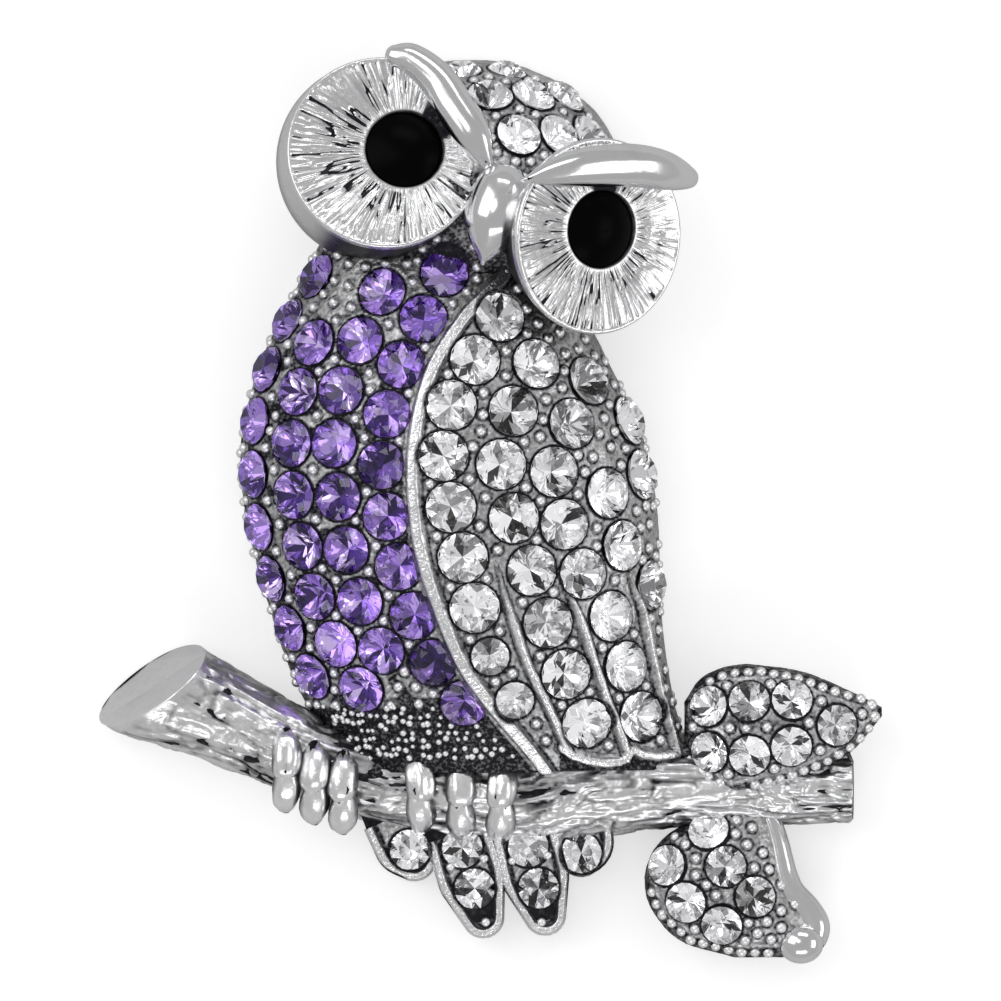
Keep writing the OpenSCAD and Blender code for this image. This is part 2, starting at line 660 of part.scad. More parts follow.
function branch_point(t, col) = smooth(BRANCH, t, col);
module branch() {
    sections = 13;
    steps = [for (i = [0 : sections]) -0.04 + 1.04 * i / sections];
    path = [for (t = steps) [branch_x + t * branch_len, branch_y + branch_point(t, 1) * branch_len, branch_z]];
    radii = [for (t = steps) branch_point(t, 2) * branch_d / 2];
    difference() {
        ridge(path, radii, radii, 10);
        translate([branch_x, branch_y + BRANCH[1][1] * branch_len, branch_z])
            rotate([0, -cut_lean, cut_turn]) translate([0, -branch_d * 2, -branch_d * 2]) cube(branch_d * 4);
        translate([-branch_len, -branch_len / 2, 0.05 - branch_d]) cube([2 * branch_len, branch_len, branch_d]);
    }
}
module toe(foot, shift) {
    x = branch_x + foot[0] * branch_len + shift;
    at = (x - branch_x) / branch_len;
    y = branch_y + branch_point(at, 1) * branch_len - foot[2] * branch_d;
    reach = branch_point(at, 2) * branch_d / 2 + 0.18 * toe_w;
    for (part = TOE) hull() {
        for (ball = part)
            translate([x, y + reach * sin(ball[0]), branch_z + reach * cos(ball[0])])
                rotate([-ball[0], 0, 0]) sphere(d = ball[1] * toe_w, $fn = 8);
    }
}
module feet() {
    for (foot = FEET, k = [-1 : 1]) toe(foot, k * foot[1] * toe_w);
}

// The leaves

module at_upper_leaf() {
    translate([upper_leaf_at[0], upper_leaf_at[1], upper_leaf_z]) rotate(-90) children();
}
module at_lower_leaf() {
    translate([lower_leaf_at[0], lower_leaf_at[1], lower_leaf_z]) rotate(180) children();
}
module leaf(dome) {
    dome_solid(dome, 0, 1, 9, 10, 0);
}
// The rolled edge of the lower leaf, with a curled end
module roll() {
    path = [
        for (t = [0.12 : 0.1 : 0.92])
            let (x = dome_x(LOWER_DOME, t, -1) + 0.1 * roll_d)
            [x, t * lower_leaf_len, leaf_edge + 0.2 * roll_d]
    ];
    last = len(path) - 1;
    half = [for (i = [0 : last]) roll_d / 2 * (0.7 + 0.5 * i / last)];
    ridge(path, half, half, 8);
    translate(path[last] + [0.35 * roll_d, 0, 0.3 * roll_d]) sphere(d = 1.4 * roll_d, $fn = 12);
}

module centred() {
    translate(-middle) children();
}

module casting() {
    color("silver") centred() difference() {
        union() {
            body();
            head();
            for (f = FEATHERS) feather(f);
            branch();
            feet();
            at_upper_leaf() leaf(UPPER_DOME);
            at_lower_leaf() {
                leaf(LOWER_DOME);
                roll();
            }
        }
        difference() {
            body_hollow();
            straps();
        }
        head_hollow();
        body_seats();
        seats([], HEAD_STONES);
        for (f = FEATHERS) feather_seats(f);
        at_upper_leaf() seats(UPPER_DOME, leaf_stones(UPPER_DOME, UPPER_LEAF_ROWS));
        at_lower_leaf() seats(LOWER_DOME, leaf_stones(LOWER_DOME, LOWER_LEAF_ROWS));
    }
}
module breast_stones() {
    color("rebeccapurple") centred() stones(BODY_DOME, BREAST_STONES);
}
module wing_stones() {
    color("white") centred() stones(BODY_DOME, WING_STONES);
}
module head_stones() {
    color("white") centred() stones([], HEAD_STONES);
}
module tail_stones() {
    color("white") centred() for (f = FEATHERS) feather_at(f) {
        for (p = feather_stones(f)) translate(p) stone(tail_stone_d);
    }
}
module upper_leaf_stones() {
    color("white") centred() at_upper_leaf() stones(UPPER_DOME, leaf_stones(UPPER_DOME, UPPER_LEAF_ROWS));
}
module lower_leaf_stones() {
    color("white") centred() at_lower_leaf() stones(LOWER_DOME, leaf_stones(LOWER_DOME, LOWER_LEAF_ROWS));
}
module left_eye_stone() {
    color("black") centred() eye_stone(LEFT_DISC);
}
module right_eye_stone() {
    color("black") centred() eye_stone(RIGHT_DISC);
}

// The pin: a bar under the straps, a hinge block, a stem and a catch, as one plain piece
module pin_finding() {
    x = dome_mid(BODY_DOME, (STRAP_AT[0] + STRAP_AT[1]) / 2);
    y = body_len * (STRAP_AT[0] + STRAP_AT[1]) / 2;
    bar_z = strap_z - solder_gap - bar_t;
    stem_z = 0.3 + stem_d;
    block = 2.6 * stem_d;
    color("gainsboro") centred() translate([x, y, 0]) {
        translate([-bar_w / 2, -bar_len / 2, bar_z]) cube([bar_w, bar_len, bar_t]);
        translate([-block / 2, bar_len / 2 - block, 0.3]) cube([block, block, bar_z + bar_t / 2 - 0.3]);
        difference() {
            translate([-block / 2, -bar_len / 2, 0.3]) cube([block, 0.6 * block, bar_z + bar_t / 2 - 0.3]);
            translate([0, -bar_len / 2 - 1, stem_z]) rotate([-90, 0, 0])
                cylinder(d = stem_d + 0.5, h = block, $fn = 32);
            translate([0, -bar_len / 2 - 1, stem_z - 0.3]) cube([block, block, 0.6]);
        }
        translate([0, -bar_len / 2 - 0.5, stem_z]) rotate([-90, 0, 0])
            cylinder(d = stem_d, h = bar_len - block / 2, $fn = 32);
    }
}

casting();
breast_stones();
wing_stones();
head_stones();
tail_stones();
upper_leaf_stones();
lower_leaf_stones();
left_eye_stone();
right_eye_stone();
pin_finding();
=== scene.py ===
"""The looks of the owl brooch: fine metal, cut stones, cast grains and light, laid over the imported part."""

import math
from collections import namedtuple
from itertools import product

import bpy
import numpy as np
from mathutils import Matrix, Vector
from mathutils.bvhtree import BVHTree


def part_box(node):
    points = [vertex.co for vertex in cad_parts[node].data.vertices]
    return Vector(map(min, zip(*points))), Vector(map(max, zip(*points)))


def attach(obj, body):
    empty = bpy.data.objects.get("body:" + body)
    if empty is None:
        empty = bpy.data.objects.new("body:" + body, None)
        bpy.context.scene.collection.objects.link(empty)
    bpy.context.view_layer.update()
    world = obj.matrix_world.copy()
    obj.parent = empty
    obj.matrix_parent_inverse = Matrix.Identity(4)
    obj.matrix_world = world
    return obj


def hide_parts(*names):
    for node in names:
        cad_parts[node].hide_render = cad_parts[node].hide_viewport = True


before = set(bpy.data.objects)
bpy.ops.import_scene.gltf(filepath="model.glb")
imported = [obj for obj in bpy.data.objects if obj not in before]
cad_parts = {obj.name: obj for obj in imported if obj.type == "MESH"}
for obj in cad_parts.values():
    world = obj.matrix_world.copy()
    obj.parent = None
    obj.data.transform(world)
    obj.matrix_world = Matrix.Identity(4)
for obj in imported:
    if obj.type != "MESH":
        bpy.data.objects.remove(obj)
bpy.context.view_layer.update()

# The part was drawn in millimetres from the lower middle of the owl's body. MM is one of them in the frame,
# and SHIFT moves that point to where it lies in the frame
CASTING_LEN = 50.57
CASTING_MIDDLE = (-0.13, 14.66)
low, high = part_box("casting")
MM = (high.y - low.y) / CASTING_LEN
SHIFT = np.array([
    (low.x + high.x) / 2 / MM - CASTING_MIDDLE[0], (low.y + high.y) / 2 / MM - CASTING_MIDDLE[1], 0.0
])
rng = np.random.default_rng(11)

# Sizes of the part in drawn millimetres, the same as in its source
BODY_LEN, BODY_W, BODY_H, SIDE_H = 29.0, 22.9, 8.4, 1.6
HEAD_W, HEAD_LEN, HEAD_H = 17.2, 14.2, 9.3
HEAD = (-1.394, 32.408)
DISC_R, DISC_H, DISC_T = 5.3, 9.4, 5.0
EYE_R = 2.1
BEAK_AT = (HEAD[0] + 0.12 * HEAD_W, HEAD[1] + 0.06 * HEAD_LEN)
BEAK_LEN, BEAK_HALF_W, BEAK_HALF_H, BEAK_TURN = 5.2, 1.62, 1.6, -104.5
RIM_H, RIDGE_W = 0.45, 0.7
BRANCH_D, BRANCH_LEN = 4.9, 38.8
BRANCH_AT = (-0.487 * BRANCH_LEN, -0.225 * BRANCH_D, 0.4 * BRANCH_D)
CUT_TURN, CUT_LEAN = 128, 20
TOE_W = 1.55
UPPER_AT = (BRANCH_AT[0] + 0.7593 * BRANCH_LEN, BRANCH_AT[1] + 0.77 * BRANCH_D, 2.3)
UPPER_LEN, UPPER_W = 10.9, 7.1
LOWER_AT = (BRANCH_AT[0] + 0.8453 * BRANCH_LEN, BRANCH_AT[1], 1.3)
LOWER_LEN, LOWER_W = 9.3, 8.8
LEAF_T, LEAF_EDGE = 2.9, 1.0
FEATHER_LEN, FEATHER_W, FEATHER_T = 8.6, 3.7, 2.2
TAIL_AT = (-1.2, BRANCH_AT[1])

# How deep the skins reach into the casting, how far they are lifted, and how far over it they stay at least
SKIN, SKIN_LIFT, OVER_CASTING = 1.35, 0.05, 0.03
# The lowest height of skins, bark and toes, and grains
LOWEST_SKIN, LOWEST_BARK, LOWEST_GRAIN = 0.04, 0.06, 0.6
# How far from a stone grains may stand, the groove round their feet, and a distance that is out of reach
GRAIN_REACH, GROOVE_DEPTH, FAR = 1.25, 0.05, 9.0
# The new stones are a little wider than the part's and lie a little higher, in shares of their width
STONE_SPREAD, STONE_LIFT = 1.03, 0.02
# How far a stone counts along its axis for the metal round it
STONE_REACH = 1.6
# The least painted shade on the metal between the stones
LEAST_PAINTED_SHADE = 0.50
# Radius and spacing of the cast grains
BODY_GRAIN, CROWN_GRAIN, LEAF_GRAIN = (0.29, 0.92), (0.27, 0.84), (0.29, 0.76)

# Tables of sections: share of the length, middle as a share of the width, half width and height as shares
BODY = [
    (-0.06, 0.07, 0.78, 0.50), (0.00, 0.060, 0.83, 0.66), (0.15, -0.022, 0.90, 0.85),
    (0.30, -0.070, 0.945, 0.95), (0.50, -0.108, 1.00, 1.00), (0.65, -0.130, 0.965, 1.00),
    (0.80, -0.148, 0.82, 0.95), (1.00, -0.145, 0.57, 0.80), (1.10, -0.135, 0.45, 0.60),
]
UPPER_LEAF = [
    (0.00, 0.00, 0.30, 0.40), (0.08, 0.04, 0.74, 0.68), (0.24, 0.065, 1.00, 0.95),
    (0.42, 0.03, 0.92, 1.00), (0.62, 0.01, 0.77, 0.95), (0.84, 0.00, 0.47, 0.75),
    (1.00, -0.08, 0.06, 0.45),
]
LOWER_LEAF = [
    (0.00, 0.00, 0.12, 0.50), (0.12, 0.022, 0.33, 0.75), (0.27, 0.136, 0.68, 0.92),
    (0.42, 0.18, 0.84, 1.00), (0.60, 0.165, 0.92, 1.00), (0.78, 0.05, 0.98, 0.95),
    (0.92, -0.03, 0.79, 0.75), (1.00, -0.09, 0.30, 0.45),
]
# How far across the body the wing's leading edge and the ridges between its feathers lie
WING_EDGE = [
    (-0.06, 0.21), (0.00, 0.155), (0.048, 0.10), (0.105, 0.033), (0.20, -0.07), (0.307, -0.13),
    (0.42, -0.169), (0.52, -0.168), (0.613, -0.144), (0.709, -0.08), (0.795, 0.036), (0.878, 0.24),
    (0.94, 0.50), (1.00, 0.72), (1.10, 0.85),
]
RIDGES = [
    [(-0.06, 0.314), (0, 0.314), (0.1, 0.312), (0.15, 0.297), (0.20, 0.265), (0.30, 0.227), (0.42, 0.182)],
    [(-0.06, 0.644), (0, 0.644), (0.1, 0.642), (0.20, 0.613), (0.30, 0.569), (0.35, 0.519), (0.42, 0.453)],
    [(-0.06, 0.925), (0, 0.925), (0.1, 0.925), (0.20, 0.915), (0.30, 0.893), (0.35, 0.855), (0.42, 0.809)],
]
RIDGE_FROM, RIDGE_FULL = 0.42, 0.28
# The lower borders of the second and third wing feathers
TIPS = [
    [(3.70, 1.30), (4.30, 0.92), (5.05, 0.66), (6.00, 0.50), (6.80, 0.52), (7.30, 0.78), (7.55, 1.15)],
    [(7.60, 1.15), (8.10, 0.90), (8.90, 0.78), (9.70, 0.85), (10.20, 1.10)],
]
# Share of the branch's length, sideways place as a share of its length, and width as a share of its width
BRANCH = [
    (-0.04, 0.170, 1.32), (0.00, 0.151, 1.30), (0.06, 0.123, 1.12), (0.137, 0.086, 1.00),
    (0.25, 0.036, 0.95), (0.394, 0.00, 0.95), (0.52, -0.007, 1.00), (0.67, 0.00, 0.93),
    (0.78, 0.00, 0.86), (1.00, 0.00, 0.70),
]
# The brows' paths over their discs in shares of the discs' radius, with the half width in millimetres
LEFT_BROW = [
    (0.10, 1.02, 0.60), (0.28, 0.98, 0.76), (0.54, 0.77, 0.90), (0.74, 0.46, 1.00), (0.92, 0.18, 0.95),
    (1.06, -0.11, 0.45),
]
RIGHT_BROW = [
    (-0.74, 0.58, 0.18), (-0.45, 0.66, 0.70), (-0.15, 0.72, 1.00), (0.15, 0.74, 1.08), (0.47, 0.73, 1.05),
    (0.72, 0.68, 0.95), (0.97, 0.61, 0.62),
]
# Share of the beak's length, share of its width, and rise
BEAK = [
    (0.00, 0.58, 0.0), (0.14, 0.84, 0.2), (0.38, 1.00, 0.45), (0.62, 0.94, 0.5), (0.84, 0.55, 0.3),
    (1.00, 0.08, 0.0),
]
# Each foot: share of the branch's length, spread of its toes in toe widths, and place across the branch
FEET = [(0.2285, 1.03, 0.16), (0.437, 1.45, -0.05)]
# The two joints of a toe: angle round the branch and share of the toe's width
TOE_JOINTS = [[(36, 0.5), (22, 0.86), (-6, 1.00)], [(-18, 0.80), (-44, 0.95), (-74, 0.52)]]
# Each tail feather: root in feather widths, lean in degrees, share of the full length, and rise
FEATHERS = [(-1.36, 24, 0.64, 0.3), (1.55, 4, 0.57, 0.35), (-0.44, 17, 1.0, 0.9), (0.606, 14, 0.97, 0.95)]

# The eye discs. The places of foot and eye are shares of the disc's radius, and the lean is in degrees
Disc = namedtuple("Disc", "middle foot lean eye foot_width")
LEFT_DISC = Disc(
    middle=(HEAD[0] - 0.274 * HEAD_W, HEAD[1] + 0.125 * HEAD_LEN),
    foot=(-0.08, -0.08), lean=(7, 13), eye=(0.22, 0.05), foot_width=1.05,
)
RIGHT_DISC = Disc(
    middle=(HEAD[0] + 0.413 * HEAD_W, HEAD[1] - 0.2 * HEAD_LEN),
    foot=(-0.24, 0.04), lean=(33, -4), eye=(0.07, 0.07), foot_width=0.8,
)

# Outlines of the leaves for their rows of grains, and the vein of the upper one
UPPER_EDGE = [
    (12.95, -1.30), (11.40, -0.30), (10.85, 1.60), (10.60, 3.50), (11.40, 4.90), (12.80, 5.55),
    (14.70, 5.70), (16.90, 5.35), (19.60, 4.30), (21.10, 3.90), (21.45, 3.20), (21.20, 2.50),
    (20.25, 1.40), (18.60, 0.30), (16.40, -0.60), (13.40, -1.25),
]
UPPER_VEIN = [(11.3, 2.70), (13.4, 2.62), (16.2, 2.60), (19.0, 2.9)]
LOWER_EDGE = [
    (13.85, -1.10), (12.20, -2.20), (9.75, -3.60), (8.65, -5.00), (8.40, -6.70), (8.90, -8.05),
    (10.80, -9.70), (13.60, -10.35), (15.80, -10.35),
]
# Grains beside the tail's stones, and one over the beak
TAIL_GRAINS = [(-0.52, -8.47), (2.59, -8.47), (-2.48, -5.41), (-0.61, -4.94), (0.97, -5.06), (2.93, -4.77)]
BEAK_GRAIN = (-0.17, 33.2)
TAIL_GRAIN_R, BEAK_GRAIN_R = 0.25, 0.36


# Numbers: curves, noise and distances


def smooth(rows, t, col):
    """The value of a table's column at t, along the same smooth curve as in the part's source."""
    rows = np.asarray(rows, float)
    at, v, n = rows[:, 0], rows[:, col], len(rows)
    ends = [(max(i - 1, 0), min(i + 1, n - 1)) for i in range(n)]
    slope = np.array([(v[b] - v[a]) / (at[b] - at[a]) for a, b in ends])
    t = np.asarray(t, float)
    i = np.clip(np.searchsorted(at, t, side="right") - 1, 0, n - 2)
    span = at[i + 1] - at[i]
    u = (t - at[i]) / span
    return (
        v[i] * (2 * u**3 - 3 * u**2 + 1) + v[i + 1] * (3 * u**2 - 2 * u**3)
        + slope[i] * span * (u**3 - 2 * u**2 + u) + slope[i + 1] * span * (u**3 - u**2)
    )


def noise(x, y, z=0.0, seed=0):
    """Smooth noise from -1 to 1 with cells one unit wide."""
    x, y, z = np.broadcast_arrays(np.asarray(x, float), y, z)
    cell = [np.floor(a).astype(np.int64) for a in (x, y, z)]
    u = [a - c for a, c in zip((x, y, z), cell)]
    u = [a * a * (3 - 2 * a) for a in u]

    def corner(i, j, k):
        """A number from -1 to 1 that is mixed from the bits of a cell's corner."""
        n = (cell[0] + i) * 73856093 ^ (cell[1] + j) * 19349663 ^ (cell[2] + k) * 83492791
        n ^= seed * 2654435761
        n &= 0xFFFFFFFF
        n = ((n ^ (n >> 15)) * 2246822519) & 0xFFFFFFFF
        n = ((n ^ (n >> 13)) * 3266489917) & 0xFFFFFFFF
        return (n ^ (n >> 16)) / 0x7FFFFFFF - 1.0

    total = 0
    for far in product((0, 1), repeat=3):
        part = corner(*far)
        for side_of, share in zip(far, u):
            part = part * (share if side_of else 1 - share)
        total = total + part
    return total


def noise_at(p, size, seed):
    """Noise at points, with size cells in a millimetre."""
    return noise(p[..., 0] * size, p[..., 1] * size, p[..., 2] * size, seed)


def noise_round(a, size, along, seed):
    """Noise that closes round a circle: at angles a with its radius in cells, and along its axis."""
    return noise(np.cos(a) * size, np.sin(a) * size, along, seed)


def step(low_at, high_at, x):
    """0 under low_at, 1 over high_at, smooth between."""
    u = np.clip((x - low_at) / (high_at - low_at), 0, 1)
    return u * u * (3 - 2 * u)


def band(x, at, width):
    """1 where x is at, falling smoothly to 0 on both sides."""
    return np.exp(-(((x - at) / width) ** 2))


def xyz(x, y, z):
    return np.stack(np.broadcast_arrays(x, y, z), -1)


def circle(count):
    """Angles once round, as a row."""
    return np.linspace(0, math.tau, count, endpoint=False)[None, :]


def toward_ends(count, margin):
    """Shares from end to end, closer together toward both ends."""
    return 0.5 - 0.5 * np.cos(np.linspace(margin, math.pi - margin, count))


def rounded_ends(u, power):
    """The width of a ridge at shares u: full along it, and closing round both ends."""
    return np.sqrt(np.clip(1 - np.abs(2 * u - 1) ** power, 0, 1))


def line_distance(points, path):
    """Distance of each point to a line through the path's points, in the plane of the path's coordinates."""
    path = np.asarray(path, float)
    p = points[..., : path.shape[1]]
    best = np.full(p.shape[:-1], 1e9)
    for a, b in zip(path[:-1], path[1:]):
        u = np.clip(((p - a) @ (b - a)) / ((b - a) @ (b - a)), 0, 1)
        best = np.minimum(best, np.linalg.norm(p - (a + u[..., None] * (b - a)), axis=-1))
    return best


def length_along(path):
    """The length of a path up to each of its points."""
    return np.concatenate([[0], np.cumsum(np.linalg.norm(np.diff(path, axis=0), axis=1))])


def normals_up(grid):
    """Unit normals of a grid of points, on the side that looks up on the whole."""
    n = np.cross(np.gradient(grid, axis=1), np.gradient(grid, axis=0))
    n = n / np.linalg.norm(n, axis=-1, keepdims=True).clip(1e-9)
    return -n if n[..., 2].mean() < 0 else n


# Materials


def node(tree, kind, inputs=(), **settings):
    """A new node with its settings. Its inputs are values, or sockets to link."""
    made = tree.nodes.new(kind)
    for key, value in settings.items():
        setattr(made, key, value)
    for key, value in dict(inputs).items():
        if isinstance(value, bpy.types.NodeSocket):
            tree.links.new(value, made.inputs[key])
        else:
            made.inputs[key].default_value = value
    return made


def node_group(name, kind, inputs, outputs):
    """A node group. Each input has a label, a type and a value, and each output only the first two."""
    group = bpy.data.node_groups.new(name, kind)
    for label, what, value in inputs:
        socket = group.interface.new_socket(label, in_out="INPUT", socket_type="NodeSocket" + what)
        if value is not None:
            socket.default_value = value
    for label, what in outputs:
        group.interface.new_socket(label, in_out="OUTPUT", socket_type="NodeSocket" + what)
    return group


def principled(name, **values):
    """A material of one Principled shader, with values for its sockets."""
    m = bpy.data.materials.new(name)
    m.use_nodes = True
    for key, value in values.items():
        m.node_tree.nodes["Principled BSDF"].inputs[key.replace("_", " ")].default_value = value
    return m


def blackening_and_painted_shade_group():
    """Shared effect: plating darkened, as blackening and painted shade, by the amount, with a fine cast
    grain.
    """
    inputs = [
        ("Bright", "Color", (0.75, 0.75, 0.76, 1)), ("Black", "Color", (0.02, 0.02, 0.024, 1)),
        ("Amount", "Float", 0.0), ("Size", "Float", 3000.0), ("Bright rough", "Float", 0.2),
        ("Black rough", "Float", 0.5), ("Speckle", "Float", 0.3),
    ]
    outputs = [("Color", "Color"), ("Roughness", "Float"), ("Height", "Float")]
    g = node_group("blackening_and_painted_shade", "ShaderNodeTree", inputs, outputs)
    a = node(g, "NodeGroupInput").outputs
    where = node(g, "ShaderNodeTexCoord").outputs["Object"]
    grain = node(g, "ShaderNodeTexNoise", {"Detail": 3, "Vector": where, "Scale": a["Size"]}).outputs["Fac"]
    middle = node(g, "ShaderNodeMath", {0: grain, 1: 0.5}, operation="SUBTRACT").outputs[0]
    spread = node(g, "ShaderNodeMath", {0: middle, 1: a["Speckle"]}, operation="MULTIPLY").outputs[0]
    total = node(g, "ShaderNodeMath", {0: spread, 1: a["Amount"]}, use_clamp=True).outputs[0]
    tint = node(g, "ShaderNodeMix", {"Factor": total, 6: a["Bright"], 7: a["Black"]}, data_type="RGBA")
    rough = node(g, "ShaderNodeMix", {"Factor": total, 2: a["Bright rough"], 3: a["Black rough"]})
    node(g, "NodeGroupOutput", {"Color": tint.outputs[2], "Roughness": rough.outputs[0], "Height": grain})
    return g


BLACKENING_AND_PAINTED_SHADE = blackening_and_painted_shade_group()


def plated(name, bright, rough, bump, size=3000.0, speckle=0.3, amount="marks"):
    """Plated metal. Its blackening and painted shade come from its marks, from facing up under the skins, or
    not at all.
    """
    m = principled(name, Metallic=1.0)
    tree = m.node_tree
    g = node(tree, "ShaderNodeGroup", node_tree=BLACKENING_AND_PAINTED_SHADE)
    g.inputs["Bright"].default_value = (*bright, 1)
    g.inputs["Bright rough"].default_value = rough
    g.inputs["Size"].default_value = size
    g.inputs["Speckle"].default_value = speckle
    if amount == "marks":
        mark = node(tree, "ShaderNodeAttribute", attribute_name="dark")
        tree.links.new(mark.outputs["Fac"], g.inputs["Amount"])
    if amount == "facing up":
        # Faces that look up lie under the skins and show only in the gaps between them, as shadow
        where = node(tree, "ShaderNodeTexCoord").outputs["Normal"]
        height = node(tree, "ShaderNodeSeparateXYZ", {"Vector": where}).outputs["Z"]
        steep = node(tree, "ShaderNodeMath", {0: height, 1: 3.0}, operation="MULTIPLY", use_clamp=True)
        tree.links.new(steep.outputs[0], g.inputs["Amount"])
    surface = node(tree, "ShaderNodeBump", {"Distance": bump * MM, "Height": g.outputs["Height"]})
    p = tree.nodes["Principled BSDF"]
    tree.links.new(g.outputs["Color"], p.inputs["Base Color"])
    tree.links.new(g.outputs["Roughness"], p.inputs["Roughness"])
    tree.links.new(surface.outputs["Normal"], p.inputs["Normal"])
    return m


METAL = plated("plated_cast", (0.92, 0.92, 0.93), rough=0.24, bump=0.06, size=5200.0, speckle=0.9)
POLISHED = plated("plated_polished", (0.80, 0.80, 0.81), rough=0.15, bump=0.012, size=900.0)
BARK = plated("plated_bark", (0.92, 0.92, 0.93), rough=0.28, bump=0.05, size=2200.0)
RAYS = plated("plated_rays", (0.86, 0.86, 0.87), rough=0.24, bump=0.03, size=2600.0)
INNER = plated("plated_back", (0.55, 0.55, 0.56), rough=0.32, bump=0.03, amount="facing up")
GRAINS = plated("plated_grains", (0.95, 0.95, 0.96), rough=0.4, bump=0.01, amount="none")
PIN = plated("pin_steel", (0.68, 0.68, 0.69), rough=0.2, bump=0.01, amount="none")
BLACK = principled(
    "black_glass", Base_Color=(0.001, 0.001, 0.001, 1), Roughness=0.3, Specular_IOR_Level=0.03, Metallic=0.0
)


Glass = namedtuple("Glass", "crown foils shares slot")


def glass(kind, color, painted_reflections):
    """Cut glass over foil. Each tone of the foil is a painted reflection: its colour, painted glow, the
    glow's strength and its share of the facets.
    """
    crown = principled(
        kind + "_glass", Base_Color=(*color, 1), Transmission_Weight=1.0, IOR=1.55, Roughness=0.0,
        Metallic=0.0,
    )
    foils = [
        principled(
            kind + "_foil_" + str(k), Base_Color=(*reflection_colour, 1), Metallic=1.0, Roughness=0.08,
            Emission_Color=(*painted_glow, 1), Emission_Strength=strength,
        )
        for k, (reflection_colour, painted_glow, strength, _) in enumerate(painted_reflections)
    ]
    return Glass(crown, foils, [t[3] for t in painted_reflections], kind + "_stone")


# The foil tones are painted reflections, and the brighter ones carry a painted glow
CLEAR = glass("clear", (0.98, 0.98, 1.0), [
    ((0.90, 0.90, 0.91), (1.0, 1.0, 1.0), 0.24, 0.44), ((0.80, 0.80, 0.81), (1.0, 1.0, 1.0), 0.15, 0.26),
    ((0.35, 0.34, 0.35), (1.0, 1.0, 1.0), 0.04, 0.16), ((0.05, 0.05, 0.05), (0.0, 0.0, 0.0), 0.0, 0.14),
])
VIOLET = glass("violet", (0.66, 0.56, 0.86), [
    ((0.92, 0.85, 0.97), (0.82, 0.70, 1.0), 0.32, 0.16), ((0.50, 0.37, 0.70), (0.60, 0.42, 1.0), 0.19, 0.44),
    ((0.08, 0.04, 0.18), (0.4, 0.2, 0.9), 0.01, 0.40),
])


def coat(o, material):
    """Gives a piece or a node of the part its one material."""
    o.data.materials.clear()
    o.data.materials.append(material)


# Meshes


def new_object(name, data):
    o = bpy.data.objects.new(name, data)
    bpy.context.scene.collection.objects.link(o)
    return o


def new_mesh(name, points, faces):
    """A mesh from points in drawn millimetres."""
    mesh = bpy.data.meshes.new(name)
    mesh.from_pydata(((np.asarray(points) + SHIFT) * MM).tolist(), [], faces)
    mesh.update()
    return mesh


def add_values(mesh, name, values):
    mesh.attributes.new(name, "FLOAT", "POINT").data.foreach_set("value", np.asarray(values, np.float32))


def signed_volume(v, quads, caps):
    """Volume inside the faces, less than 0 where they face inward."""
    total = 0.0
    for k in (1, 2):
        total += np.einsum("ij,ij->i", v[quads[:, 0]], np.cross(v[quads[:, k]], v[quads[:, k + 1]])).sum()
    for cap in caps:
        for k in range(1, len(cap) - 1):
            total += v[cap[0]] @ np.cross(v[cap[k]], v[cap[k + 1]])
    return total / 6


def ring_quads(rows, cols):
    j, i = np.meshgrid(np.arange(rows - 1), np.arange(cols), indexing="ij")
    k = (i + 1) % cols
    return np.stack([j * cols + i, j * cols + k, (j + 1) * cols + k, (j + 1) * cols + i], -1).reshape(-1, 4)


def closed_piece(name, parts, material):
    """A metal piece of closed stacks of rings that face outward, each with the darkening of its points
    (blackening and painted shade).
    """
    points, quads, caps, marks, base = [], [], [], [], 0
    for rings, dark in parts:
        rows, cols = rings.shape[:2]
        v = rings.reshape(-1, 3)
        around = ring_quads(rows, cols)
        ends = [list(range(cols))[::-1], list(range((rows - 1) * cols, rows * cols))]
        if signed_volume(v - v.mean(0), around, ends) < 0:
            around = around[:, ::-1]
            ends = [end[::-1] for end in ends]
        points.append(v)
        quads.append(around + base)
        caps += [[base + i for i in end] for end in ends]
        marks.append(np.broadcast_to(dark, (rows, cols)).ravel())
        base += len(v)
    quads = np.concatenate(quads)
    mesh = new_mesh(name, np.concatenate(points), quads.tolist() + caps)
    mesh.polygons.foreach_set("use_smooth", np.arange(len(mesh.polygons)) < len(quads))
    add_values(mesh, "dark", np.concatenate(marks))
    o = new_object(name, mesh)
    coat(o, material)
    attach(o, "root")
    return o


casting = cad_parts["casting"].data
casting_tree = BVHTree.FromPolygons([v.co for v in casting.vertices], [p.vertices for p in casting.polygons])


def casting_height(grid, normals, reach=1.2):
    """How far the casting stands out over each point of a grid along its normal, -FAR where it doesn't."""
    origins = ((grid + normals * reach + SHIFT) * MM).reshape(-1, 3)
    found = np.full(len(origins), -FAR)
    for k, (origin, normal) in enumerate(zip(origins, normals.reshape(-1, 3))):
        place, facing, _, distance = casting_tree.ray_cast(Vector(origin), Vector(-normal), 2 * reach * MM)
        if place is not None and facing.dot(Vector(normal)) > 0:
            found[k] = reach - distance / MM
    return found.reshape(grid.shape[:2])


def drop_on_casting(x, y):
    """The point of the casting straight under a place in the plane, or None beside it."""
    from_above = (np.array([x, y, 20.0]) + SHIFT) * MM
    place = casting_tree.ray_cast(Vector(from_above), Vector((0, 0, -1)))[0]
    return None if place is None else np.array(place) / MM - SHIFT


# Stones

Stone = namedtuple("Stone", "middle axis width corner")
# Radius and height of a cut stone's rings of corners, and depth of its tip, as shares of its width
TABLE, STAR, GIRDLE, FOIL, DEEP = (0.28, 0.20), (0.40, 0.1185), (0.5, 0.0), (0.499, -0.012), (0.22, -0.248)
TIP_DEPTH = 0.42


